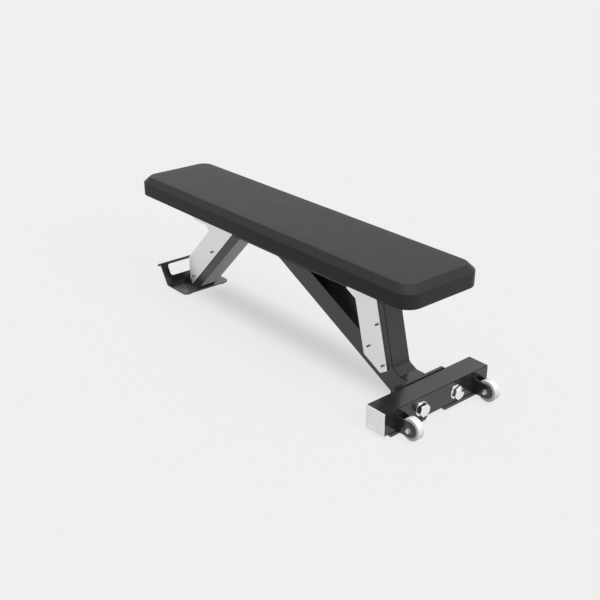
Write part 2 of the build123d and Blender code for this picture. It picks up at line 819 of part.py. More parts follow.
with BuildPart() as flange_nuts:
    for y, z in main_bolt_places:
        with Locations(facing((flange_rear - main_washer_thickness, y, z), -1)):
            add(main_nut)
finish(flange_nuts, "flange_nuts")

# ---- Transport wheels ------------------------------------------------------------------
wheel_spacing = cross_length - 2 * wheel_inset
fork_width = fork_gap + 2 * fork_sheet
fork_bottom = cross_foot_height + fork_lift
fork_tip_x = axle_x + fork_tip_radius
sleeve_radius = axle_radius + fit_clearance + sleeve_wall
bush_bore = sleeve_radius + fit_clearance
bush_radius = bush_bore + bush_wall
bush_flange_thickness = (fork_gap - wheel_width) / 2 - bush_side_play
core_radius = wheel_radius - tyre_depth
core_rim_radius = core_radius - core_rim

axle_bolt = hexagon_bolt(
    axle_radius,
    axle_head_flats,
    axle_head_height,
    2 * axle_washer_thickness + fork_width + axle_nut_height + bolt_stand_out,
)
axle_nut = hexagon_block(axle_head_flats, axle_nut_height, axle_radius + fit_clearance)
axle_washer = washer(axle_washer_radius, axle_radius + fit_clearance, axle_washer_thickness)


def axle_place(y, towards):
    """Place on the axle for a piece that faces left (+1) or right (-1)."""
    return Plane(origin=(axle_x, y, axle_z), x_dir=(1, 0, 0), z_dir=(0, towards, 0)).location


for side_name, side in (("left", 1), ("right", -1)):
    wheel_y = side * wheel_spacing / 2
    right_ear = wheel_y - fork_width / 2
    left_ear = wheel_y + fork_width / 2
    axle_line = Axis((axle_x, 0, axle_z), (0, 1, 0))

    # Fork: a channel bent from sheet, its ears narrowing to a round end on the axle.
    with BuildPart() as fork:
        with BuildSketch(Plane.XY.offset(fork_bottom)):
            with BuildLine():
                FilletPolyline(
                    (fork_tip_x, right_ear),
                    (cross_front, right_ear),
                    (cross_front, left_ear),
                    (fork_tip_x, left_ear),
                    radius=fork_bend + fork_sheet,
                )
                offset(amount=fork_sheet, side=Side.RIGHT)
            make_face()
        extrude(amount=fork_height)
        with BuildSketch(Plane.XZ.offset(-left_ear)):
            with BuildLine():
                Line((cross_front, fork_bottom), (cross_front, fork_bottom + fork_height))
                CenterArc((axle_x, axle_z), fork_tip_radius, -90, 180)
            make_hull()
        extrude(amount=fork_width, mode=Mode.INTERSECT)
        with BuildSketch(Plane.XZ.offset(-left_ear)):
            with Locations((axle_x, axle_z)):
                Circle(axle_radius + fit_clearance)
        extrude(amount=fork_width, mode=Mode.SUBTRACT)
    finish(fork, f"wheel_fork_{side_name}")

    with BuildPart() as bolt:
        with Locations(axle_place(right_ear - axle_washer_thickness, -1)):
            add(axle_bolt)
    finish(bolt, f"axle_bolt_{side_name}")

    with BuildPart() as nut:
        with Locations(axle_place(left_ear + axle_washer_thickness, 1)):
            add(axle_nut)
    finish(nut, f"axle_nut_{side_name}")

    with BuildPart() as washers:
        with Locations(axle_place(right_ear, -1), axle_place(left_ear, 1)):
            add(axle_washer)
    finish(washers, f"axle_washers_{side_name}")

    with BuildPart() as sleeve:
        with Locations(axle_place(wheel_y - fork_gap / 2, 1)):
            add(washer(sleeve_radius, axle_radius + fit_clearance, fork_gap))
    finish(sleeve, f"axle_sleeve_{side_name}")

    # Everything that turns is a revolve about the axle, drawn above it.
    with BuildPart() as bush:
        with BuildSketch(Plane.YZ.offset(axle_x)):
            with Locations((wheel_y, axle_z + (bush_bore + bush_radius) / 2)):
                Rectangle(wheel_width, bush_radius - bush_bore)
            for end_side in (-1, 1):
                flange_y = wheel_y + end_side * (wheel_width + bush_flange_thickness) / 2
                flange_radius = bush_radius + bush_flange
                with Locations((flange_y, axle_z + (bush_bore + flange_radius) / 2)):
                    Rectangle(bush_flange_thickness, flange_radius - bush_bore)
        revolve(axis=axle_line)
    finish(bush, f"wheel_bush_{side_name}")

    with BuildPart() as core:
        with BuildSketch(Plane.YZ.offset(axle_x)):
            with Locations((wheel_y, axle_z + (bush_radius + core_radius) / 2)):
                Rectangle(wheel_width, core_radius - bush_radius)
            for end_side in (-1, 1):
                dish = (wheel_width - core_web) / 2
                dish_y = wheel_y + end_side * (wheel_width - dish) / 2
                with Locations((dish_y, axle_z + (core_hub_radius + core_rim_radius) / 2)):
                    Rectangle(dish, core_rim_radius - core_hub_radius, mode=Mode.SUBTRACT)
        revolve(axis=axle_line)
    finish(core, f"wheel_core_{side_name}")

    with BuildPart() as tyre:
        with BuildSketch(Plane.YZ.offset(axle_x)) as tread:
            with Locations((wheel_y, axle_z + (core_radius + wheel_radius) / 2)):
                Rectangle(wheel_width, tyre_depth)
            chamfer(tread.vertices().group_by(Axis.Z)[-1], tyre_shoulder)
        revolve(axis=axle_line)
    finish(tyre, f"wheel_tyre_{side_name}")
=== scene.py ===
"""Flat weight bench, dressed: finishes, upholstery, softened edges, welds, screws and wheels.

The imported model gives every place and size. The pieces made here are in metres, in its frame:
+Z up, +X towards the transport wheels, +Y to the left of someone facing that way.
"""

import json
import logging
import math
from dataclasses import dataclass, field
from enum import Enum
from typing import Iterable, Sequence

import bmesh
import bpy
from mathutils import Euler, Matrix, Vector, noise

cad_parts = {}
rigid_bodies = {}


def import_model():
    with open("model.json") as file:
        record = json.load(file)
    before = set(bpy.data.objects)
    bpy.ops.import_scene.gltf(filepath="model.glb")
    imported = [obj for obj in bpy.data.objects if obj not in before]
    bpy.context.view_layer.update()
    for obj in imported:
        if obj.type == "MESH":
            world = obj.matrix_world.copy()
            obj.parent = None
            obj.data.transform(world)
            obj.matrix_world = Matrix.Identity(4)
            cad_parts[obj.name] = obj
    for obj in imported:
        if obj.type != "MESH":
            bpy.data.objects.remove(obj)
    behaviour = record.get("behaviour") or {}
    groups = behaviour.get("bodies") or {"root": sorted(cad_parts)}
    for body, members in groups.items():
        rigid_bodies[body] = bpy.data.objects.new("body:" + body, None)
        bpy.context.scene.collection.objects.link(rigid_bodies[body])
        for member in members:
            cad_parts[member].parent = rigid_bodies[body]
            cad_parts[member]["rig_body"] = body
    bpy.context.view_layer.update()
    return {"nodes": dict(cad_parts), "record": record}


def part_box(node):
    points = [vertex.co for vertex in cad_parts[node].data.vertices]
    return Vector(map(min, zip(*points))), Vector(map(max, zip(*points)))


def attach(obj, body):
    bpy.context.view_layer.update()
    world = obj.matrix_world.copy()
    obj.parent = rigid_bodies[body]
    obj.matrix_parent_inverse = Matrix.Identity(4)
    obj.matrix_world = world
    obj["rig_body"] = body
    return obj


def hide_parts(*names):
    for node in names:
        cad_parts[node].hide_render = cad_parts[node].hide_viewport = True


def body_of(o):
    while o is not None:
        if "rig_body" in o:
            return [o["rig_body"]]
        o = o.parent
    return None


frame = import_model()

Triple = tuple[float, float, float]
Colour = Triple
Ring = list[Vector]

LOG = logging.getLogger("weight_bench")
MM = 0.001
CREASE = 32.0  # degrees between two faces, above which the edge between them stays sharp
HEXAGON_CREASE = 28.0  # the same on bolts and nuts, whose turned corners are rounded too
MERGE = 0.01 * MM  # points of a solid that are closer than this are one point
FLUSH = 0.4  # faces of a solid that differ by fewer degrees than this are one face
TINY = 1e-9  # metres, by which a walk along a path stops short of its end
NOISE_LOW, NOISE_HIGH = 0.3, 0.7  # most of a noise lies between these
THIN_FILM = "thin_film"  # mark on the corners of the tubes, where baked paint draws back


class Slot(Enum):
    """Material slots of the record."""

    UPHOLSTERY = "upholstery"
    PLYWOOD = "plywood"
    ZINC = "zinc_steel"
    FRAME_PAINT = "frame_paint"
    SIDE_PLATE = "side_plate_steel"
    SCREW = "screw_steel"
    CHROME = "chromed_steel"
    BLACK_PLASTIC = "black_plastic"
    SILVER_CAP = "silver_cap"
    RUBBER = "black_rubber"
    TYRE = "white_tyre"
    NYLON = "white_nylon"
    ACETAL = "acetal"


class Body(Enum):
    """Rigid bodies of the bench."""

    FRAME = "frame"
    WHEEL_LEFT = "wheel_left"
    WHEEL_RIGHT = "wheel_right"


class Hand(Enum):
    """Side of the bench, as the sign of its Y."""

    LEFT = 1
    RIGHT = -1

    @property
    def label(self) -> str:
        """Word that ends the names of this side's nodes."""
        return self.name.lower()

    @property
    def wheel_body(self) -> Body:
        """Body of this side's wheel."""
        return Body.WHEEL_LEFT if self is Hand.LEFT else Body.WHEEL_RIGHT


# ---- Finishes ----------------------------------------------------------------------------


class Shader:
    """A material being made: one surface shader and the patterns that feed it."""

    def __init__(self, name: str) -> None:
        """Start a material.

        Args:
            name: Name of the material.
        """
        self.material = bpy.data.materials.new(name)
        self.material.use_nodes = True
        self.tree = self.material.node_tree
        self.surface = self.tree.nodes["Principled BSDF"]
        self.place = self.tree.nodes.new("ShaderNodeTexCoord").outputs["Object"]

    def node(self, kind: str, **inputs: object) -> bpy.types.Node:
        """Add one node.

        Args:
            kind: Type of the node.
            **inputs: Values or outputs for its sockets, with _ for each space in a name.

        Returns:
            The new node.
        """
        made = self.tree.nodes.new(kind)
        for label, value in inputs.items():
            socket = made.inputs[label.replace("_", " ")]
            if isinstance(value, bpy.types.NodeSocket):
                self.tree.links.new(value, socket)
            else:
                socket.default_value = value
        return made

    def fix(self, **sockets: float) -> None:
        """Set plain values on the surface, by socket name with _ for each space."""
        for label, value in sockets.items():
            self.surface.inputs[label.replace("_", " ")].default_value = value

    def drive(self, socket: str, source: bpy.types.NodeSocket) -> None:
        """Feed one socket of the surface from a pattern."""
        self.tree.links.new(source, self.surface.inputs[socket])

    def stretched(self, scale: Triple) -> bpy.types.NodeSocket:
        """Coordinates scaled by a factor along each axis."""
        return self.node("ShaderNodeMapping", Vector=self.place, Scale=scale).outputs["Vector"]

    def clouds(
        self,
        size: float,
        detail: float = 2.0,
        place: bpy.types.NodeSocket | None = None,
    ) -> bpy.types.NodeSocket:
        """Soft noise from 0 to 1.

        Args:
            size: Size of its blotches in metres.
            detail: Octaves of finer noise on top.
            place: Coordinates, the piece's own unless given.

        Returns:
            Output with the noise.
        """
        spot = self.node(
            "ShaderNodeTexNoise", Vector=place or self.place, Scale=1 / size, Detail=detail
        )
        return spot.outputs["Fac"]

    def cells(self, size: float) -> bpy.types.NodeSocket:
        """Distance from the middle of rounded cells of a size in metres, as in leather."""
        spot = self.node("ShaderNodeTexVoronoi", Vector=self.place, Scale=1 / size)
        return spot.outputs["Distance"]

    def spread(
        self, source: bpy.types.NodeSocket, low: float, high: float
    ) -> bpy.types.NodeSocket:
        """Noise mapped to a range.

        Args:
            source: Noise from 0 to 1.
            low: Value where the noise is low.
            high: Value where it is high.

        Returns:
            Output with the value.
        """
        sent = self.node(
            "ShaderNodeMapRange",
            Value=source,
            From_Min=NOISE_LOW,
            From_Max=NOISE_HIGH,
            To_Min=low,
            To_Max=high,
        )
        return sent.outputs["Result"]

    def mark(self, name: str) -> bpy.types.NodeSocket:
        """Mark that some pieces carry on their points.

        Args:
            name: Name of the mark.

        Returns:
            Output with the mark, 0 where a piece has none.
        """
        found = self.tree.nodes.new("ShaderNodeAttribute")
        found.attribute_name = name
        return found.outputs["Fac"]

    def ease(self, source: bpy.types.NodeSocket, low: float, high: float) -> bpy.types.NodeSocket:
        """Mark from 0 to 1 mapped to a range from low to high."""
        sent = self.node("ShaderNodeMapRange", Value=source, To_Min=low, To_Max=high)
        return sent.outputs["Result"]

    def tint(
        self, source: bpy.types.NodeSocket, dark: Colour, light: Colour
    ) -> bpy.types.NodeSocket:
        """Colour between two tones.

        Args:
            source: Noise from 0 to 1.
            dark: Colour where the noise is low.
            light: Colour where it is high.

        Returns:
            Output with the colour.
        """
        ramp = self.tree.nodes.new("ShaderNodeValToRGB")
        ramp.color_ramp.elements[0].position = NOISE_LOW
        ramp.color_ramp.elements[1].position = NOISE_HIGH
        ramp.color_ramp.elements[0].color = (*dark, 1)
        ramp.color_ramp.elements[1].color = (*light, 1)
        self.tree.links.new(source, ramp.inputs["Fac"])
        return ramp.outputs["Color"]

    def total(
        self, first: bpy.types.NodeSocket, second: bpy.types.NodeSocket, share: float
    ) -> bpy.types.NodeSocket:
        """Two patterns added.

        Args:
            first: Pattern that counts in full.
            second: Pattern that is scaled first.
            share: Factor of the second pattern.

        Returns:
            Output with the sum.
        """
        sum_node = self.tree.nodes.new("ShaderNodeMath")
        sum_node.operation = "MULTIPLY_ADD"
        self.tree.links.new(second, sum_node.inputs[0])
        sum_node.inputs[1].default_value = share
        self.tree.links.new(first, sum_node.inputs[2])
        return sum_node.outputs["Value"]

    def relief(self, height: bpy.types.NodeSocket, depth: float, strength: float = 1.0) -> None:
        """Raise the surface by a pattern from 0 to 1, to a depth in metres."""
        bump = self.node("ShaderNodeBump", Height=height, Distance=depth, Strength=strength)
        self.drive("Normal", bump.outputs["Normal"])


def shade(colour: Colour, factor: float) -> Colour:
    """Colour made lighter by a factor above 1, or darker by one below it."""
    return tuple(min(1.0, channel * factor) for channel in colour)


@dataclass(frozen=True)
class Finish:
    """What all finishes share: a tone, how much it varies, and how rough the surface is."""

    name: str
    tone: Colour
    rough: float
    tone_shift: float = 0.06
    rough_shift: float = 0.04
    metal: float = 0.0
    ior: float = 1.5

    def material(self) -> bpy.types.Material:
        """Make the material.

        Returns:
            The finished material.
        """
        shader = Shader(self.name)
        shader.fix(Metallic=self.metal, IOR=self.ior)
        self.pattern(shader)
        return shader.material

    def vary(self, shader: Shader, pattern: bpy.types.NodeSocket) -> None:
        """Let tone and roughness follow a pattern.

        Args:
            shader: Material being made.
            pattern: Noise that both follow.
        """
        dark = shade(self.tone, 1 - self.tone_shift)
        light = shade(self.tone, 1 + self.tone_shift)
        low, high = self.rough - self.rough_shift, self.rough + self.rough_shift
        shader.drive("Base Color", shader.tint(pattern, dark, light))
        shader.drive("Roughness", shader.spread(pattern, low, high))

    def pattern(self, shader: Shader) -> None:
        """Add what is special to the finish."""
        raise NotImplementedError


@dataclass(frozen=True)
class GlossPaint(Finish):
    """Baked black paint with a faint orange peel, a trace of dust and dull tube corners."""

    peel_size: float = 3.0 * MM
    peel_depth: float = 0.012 * MM
    dust_size: float = 60 * MM
    gloss: float = 0.5
    corner_gloss: float = 0.12

    def pattern(self, shader: Shader) -> None:
        """Orange peel in the relief, dust in tone and roughness, less gloss where it is thin.

        Args:
            shader: Material being made.
        """
        self.vary(shader, shader.clouds(self.dust_size, detail=4))
        shader.relief(shader.clouds(self.peel_size, detail=1), self.peel_depth)
        thin = shader.mark(THIN_FILM)
        shader.drive("Specular IOR Level", shader.ease(thin, self.gloss, self.corner_gloss))


@dataclass(frozen=True)
class TroddenPaint(GlossPaint):
    """The same paint, lighter from one place along +X: a reflection painted into its colour."""

    # painted reflection: its lighter tone, mottle size, start and full place along X, level and
    # mottle share
    scuff_tone: Colour = (0.15, 0.15, 0.147)
    scuff_size: float = 14 * MM
    scuff_start: float = 0.0
    scuff_full: float = 1.0
    scuff_wear: float = 0.7
    scuff_mottle: float = 0.3

    def pattern(self, shader: Shader) -> None:
        """A reflection painted in a lighter grey over the paint, uneven at its start.

        Args:
            shader: Material being made.
        """
        super().pattern(shader)
        # a lighter tone painted in as a reflection, growing along X and mottled
        along = shader.node("ShaderNodeSeparateXYZ", Vector=shader.place).outputs["X"]
        reach = shader.node(
            "ShaderNodeMapRange",
            Value=along,
            From_Min=self.scuff_start,
            From_Max=self.scuff_full,
            To_Max=self.scuff_wear,
        ).outputs["Result"]
        mottle = shader.clouds(self.scuff_size, detail=4)
        painted_reflection = shader.total(reach, mottle, self.scuff_mottle)
        shader.drive("Base Color", shader.tint(painted_reflection, self.tone, self.scuff_tone))


@dataclass(frozen=True)
class SatinSteel(Finish):
    """Stainless sheet with a fine line finish along the bench."""

    line_length: float = 40 * MM
    line_width: float = 0.35 * MM
    line_depth: float = 0.008 * MM
    blotch_size: float = 50 * MM
    blotch_share: float = 0.3

    def pattern(self, shader: Shader) -> None:
        """Long fine lines in tone, roughness and relief, over slow blotches.

        Args:
            shader: Material being made.
        """
        across = 1 / self.line_width
        along = shader.stretched((1 / self.line_length, across, across))
        lines = shader.clouds(1.0, detail=2, place=along)
        blotches = shader.clouds(self.blotch_size, detail=2)
        self.vary(shader, shader.total(lines, blotches, self.blotch_share))
        shader.relief(lines, self.line_depth)


@dataclass(frozen=True)
class PlatedSteel(Finish):
    """Plated steel with a slightly uneven coat."""

    coat_size: float = 8 * MM
    coat_depth: float = 0.01 * MM

    def pattern(self, shader: Shader) -> None:
        """Clouded plating in tone, roughness and relief.

        Args:
            shader: Material being made.
        """
        clouds = shader.clouds(self.coat_size, detail=4)
        self.vary(shader, clouds)
        shader.relief(clouds, self.coat_depth)


@dataclass(frozen=True)
class CoveredFoam(Finish):
    """Black artificial leather with a fine grain, stretched over firm foam."""

    grain_size: float = 1.3 * MM
    grain_depth: float = 0.05 * MM
    grain_strength: float = 0.6
    grain_share: float = 0.12
    pore_size: float = 0.4 * MM
    pore_share: float = 0.5
    swell_size: float = 90 * MM
    sheen: float = 0.04
    sheen_rough: float = 0.4

    def pattern(self, shader: Shader) -> None:
        """Pebbled grain with fine pores, and slow changes of tone.

        Args:
            shader: Material being made.
        """
        pebbles = shader.cells(self.grain_size)
        grain = shader.total(pebbles, shader.clouds(self.pore_size, 3), self.pore_share)
        swells = shader.clouds(self.swell_size, 3)
        self.vary(shader, shader.total(swells, grain, self.grain_share))
        shader.relief(grain, self.grain_depth, self.grain_strength)
        shader.fix(Sheen_Weight=self.sheen, Sheen_Roughness=self.sheen_rough)


@dataclass(frozen=True)
class Moulded(Finish):
    """Moulded plastic or rubber with a fine etched texture."""

    etch_size: float = 0.6 * MM
    etch_depth: float = 0.02 * MM
    flow_size: float = 25 * MM

    def pattern(self, shader: Shader) -> None:
        """Etched texture in the relief, flow marks in tone and roughness."""
        self.vary(shader, shader.clouds(self.flow_size, detail=3))
        shader.relief(shader.clouds(self.etch_size, detail=2), self.etch_depth)


@dataclass(frozen=True)
class StainedPlywood(Finish):
    """Plywood stained black, with open grain on its faces and plies on its edges."""

    grain_length: float = 120 * MM
    grain_width: float = 2.2 * MM
    grain_depth: float = 0.12 * MM
    ply: float = 1.5 * MM

    def pattern(self, shader: Shader) -> None:
        """Long grain over the faces and thin plies through the thickness.

        Args:
            shader: Material being made.
        """
        across = 1 / self.grain_width
        along = shader.stretched((1 / self.grain_length, across, 1 / self.ply))
        grain = shader.clouds(1.0, detail=5, place=along)
        self.vary(shader, grain)
        shader.relief(grain, self.grain_depth)


FINISHES: dict[Slot, Finish] = {
    Slot.UPHOLSTERY: CoveredFoam(
        "black_upholstery", (0.036, 0.036, 0.037), 0.42, 0.05, 0.03, ior=1.2
    ),
    Slot.PLYWOOD: StainedPlywood("stained_plywood", (0.04, 0.037, 0.035), 0.7, 0.3, 0.1),
    Slot.ZINC: PlatedSteel("zinc_plate", (0.62, 0.63, 0.65), 0.3, 0.08, 0.06, metal=1.0),
    Slot.FRAME_PAINT: GlossPaint(
        "black_gloss_paint", (0.026, 0.026, 0.027), 0.2, 0.1, 0.03, ior=1.56
    ),
    Slot.SIDE_PLATE: SatinSteel("satin_steel", (0.755, 0.76, 0.77), 0.3, 0.025, 0.04, metal=1.0),
    Slot.SCREW: PlatedSteel("blackened_steel", (0.21, 0.21, 0.215), 0.3, 0.1, 0.05),
    Slot.CHROME: PlatedSteel("bright_chrome", (0.9, 0.91, 0.92), 0.1, 0.02, 0.03, metal=1.0),
    Slot.BLACK_PLASTIC: Moulded("black_plastic", (0.022, 0.022, 0.022), 0.45),
    Slot.SILVER_CAP: Moulded("silver_plastic", (0.9, 0.905, 0.915), 0.3, 0.02, metal=0.7),
    Slot.RUBBER: Moulded("black_rubber", (0.055, 0.055, 0.055), 0.3, etch_depth=0.01 * MM),
    Slot.TYRE: Moulded("white_polyurethane", (0.9, 0.9, 0.895), 0.38, 0.015),
    Slot.NYLON: Moulded("white_nylon", (0.7, 0.7, 0.69), 0.4, 0.02),
    Slot.ACETAL: Moulded("white_acetal", (0.74, 0.74, 0.72), 0.3, 0.02),
}


class Palette:
    """The bench's materials, one for each slot of the record."""

    def __init__(self) -> None:
        """Make every material once."""
        self.materials = {slot: finish.material() for slot, finish in FINISHES.items()}
        rows = frame["record"]["subparts"]
        self.slots = {row["node"]: Slot(row["material_slot"]) for row in rows}

    def paint(self, piece: bpy.types.Object, slot: Slot) -> None:
        """Give a new piece its finish.

        Args:
            piece: Piece to paint.
            slot: Slot of the record that it takes its finish from.
        """
        piece.data.materials.clear()
        piece.data.materials.append(self.materials[slot])

    def paint_node(self, node: str) -> None:
        """Give a node of the model the finish that its record names."""
        for holder in frame["nodes"][node].material_slots:
            holder.material = self.materials[self.slots[node]]


# ---- Mesh work ---------------------------------------------------------------------------


def smooth_shaded(mesh: bpy.types.Mesh, crease: float) -> None:
    """Shade a mesh smooth, with edges sharper than the crease in degrees kept sharp."""
    mesh.polygons.foreach_set("use_smooth", [True] * len(mesh.polygons))
    mesh.set_sharp_from_angle(angle=math.radians(crease))


def new_piece(
    name: str, shape: bmesh.types.BMesh, body: Body, crease: float = CREASE
) -> bpy.types.Object:
    """Turn a mesh being built into a piece that rides on a body.

    Args:
        name: Name of the piece.
        shape: Mesh being built, which is used up.
        body: Body that the piece moves with.
        crease: Edges sharper than this, in degrees, stay sharp.

    Returns:
        The new piece.
    """
    bmesh.ops.recalc_face_normals(shape, faces=shape.faces[:])
    mesh = bpy.data.meshes.new(name)
    shape.to_mesh(mesh)
    shape.free()
    old_normals = mesh.attributes.get("custom_normal")
    if old_normals is not None:
        mesh.attributes.remove(old_normals)
    smooth_shaded(mesh, crease)
    piece = bpy.data.objects.new(name, mesh)
    bpy.context.scene.collection.objects.link(piece)
    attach(piece, body.value)
    LOG.info("%s: %d faces on %s", name, len(mesh.polygons), body.value)
    return piece


def skin(shape: bmesh.types.BMesh, rings: Sequence[Ring], loop: bool = False) -> None:
    """Cover rings of equal count with quads, each ring closed.

    Args:
        shape: Mesh that gets the faces.
        rings: Rings of points in order.
        loop: Whether the last ring joins the first; if not, both ends are closed by a face.
    """
    rows = [[shape.verts.new(point) for point in ring] for ring in rings]
    count = len(rows[0])
    last = len(rows) if loop else len(rows) - 1
    for index in range(last):
        here, there = rows[index], rows[(index + 1) % len(rows)]
        for turn in range(count):
            after = (turn + 1) % count
            shape.faces.new((here[turn], here[after], there[after], there[turn]))
    if not loop:
        shape.faces.new(rows[0][::-1])
        shape.faces.new(rows[-1])


def softened(
    palette: Palette, node: str, width: float, segments: int = 2, crease: float = CREASE
) -> bpy.types.Object:
    """Stand a copy of a node in its place, with its hard edges rounded off.

    Args:
        palette: Materials of the bench.
        node: Node to copy.
        width: Width of the rounding in metres.
        segments: Faces across the rounding.
        crease: Edges sharper than this, in degrees, are rounded.

    Returns:
        The new piece.
    """
    source = frame["nodes"][node]
    body = Body(body_of(source)[0])
    shape = bmesh.new()
    shape.from_mesh(source.data)
    bmesh.ops.remove_doubles(shape, verts=shape.verts[:], dist=MERGE)
    bmesh.ops.dissolve_limit(
        shape, angle_limit=math.radians(FLUSH), verts=shape.verts[:], edges=shape.edges[:]
    )
    piece = new_piece(f"{node}_softened", shape, body, crease)
    rounding = piece.modifiers.new("rounded_edges", "BEVEL")
    rounding.width = width
    rounding.segments = segments
    rounding.limit_method = "ANGLE"
    rounding.angle_limit = math.radians(crease)
    rounding.harden_normals = True
    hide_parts(node)
    palette.paint(piece, palette.slots[node])
    return piece


def filleted(
    corners: Sequence[tuple[float, float]], radii: Sequence[float], steps: int
) -> list[tuple[float, float]]:
    """Open polyline with its inner corners rounded.

    Args:
        corners: Points of the polyline.
        radii: Radius at each inner corner, 0 for a sharp one.
        steps: Pieces of each arc.

    Returns:
        Points of the rounded line.
    """
    points = [Vector(corner) for corner in corners]
    line = [points[0]]
    for before, corner, after, radius in zip(points, points[1:], points[2:], radii):
        if radius <= 0:
            line.append(corner)
            continue
        back, ahead = (before - corner).normalized(), (after - corner).normalized()
        half = back.angle(ahead) / 2
        reach = radius / math.tan(half)
        middle = corner + (back + ahead).normalized() * (radius / math.sin(half))
        start, end = corner + back * reach - middle, corner + ahead * reach - middle
        sweep = start.angle_signed(end)
        for step in range(steps + 1):
            angle = -sweep * step / steps
            turned = Vector(
                (
                    start.x * math.cos(angle) - start.y * math.sin(angle),
                    start.x * math.sin(angle) + start.y * math.cos(angle),
                )
            )
            line.append(middle + turned)
    line.append(points[-1])
    return [(point.x, point.y) for point in line]


def lathed(
    name: str,
    profile: Sequence[tuple[float, float]],
    centre: Vector,
    body: Body,
    steps: int,
) -> bpy.types.Object:
    """Piece turned about an axle that lies along Y.

    Args:
        name: Name of the piece.
        profile: Closed outline as radius and place along the axle.
        centre: Point on the axle that the profile is measured from.
        body: Body that the piece moves with.
        steps: Faces round the axle.

    Returns:
        The new piece.
    """
    shape = bmesh.new()
    rings = []
    for step in range(steps):
        angle = math.tau * step / steps
        out = Vector((math.cos(angle), 0, math.sin(angle)))
        rings.append([centre + out * radius + Vector((0, along, 0)) for radius, along in profile])
    skin(shape, rings, loop=True)
    return new_piece(name, shape, body)


# ---- Studio ------------------------------------------------------------------------------


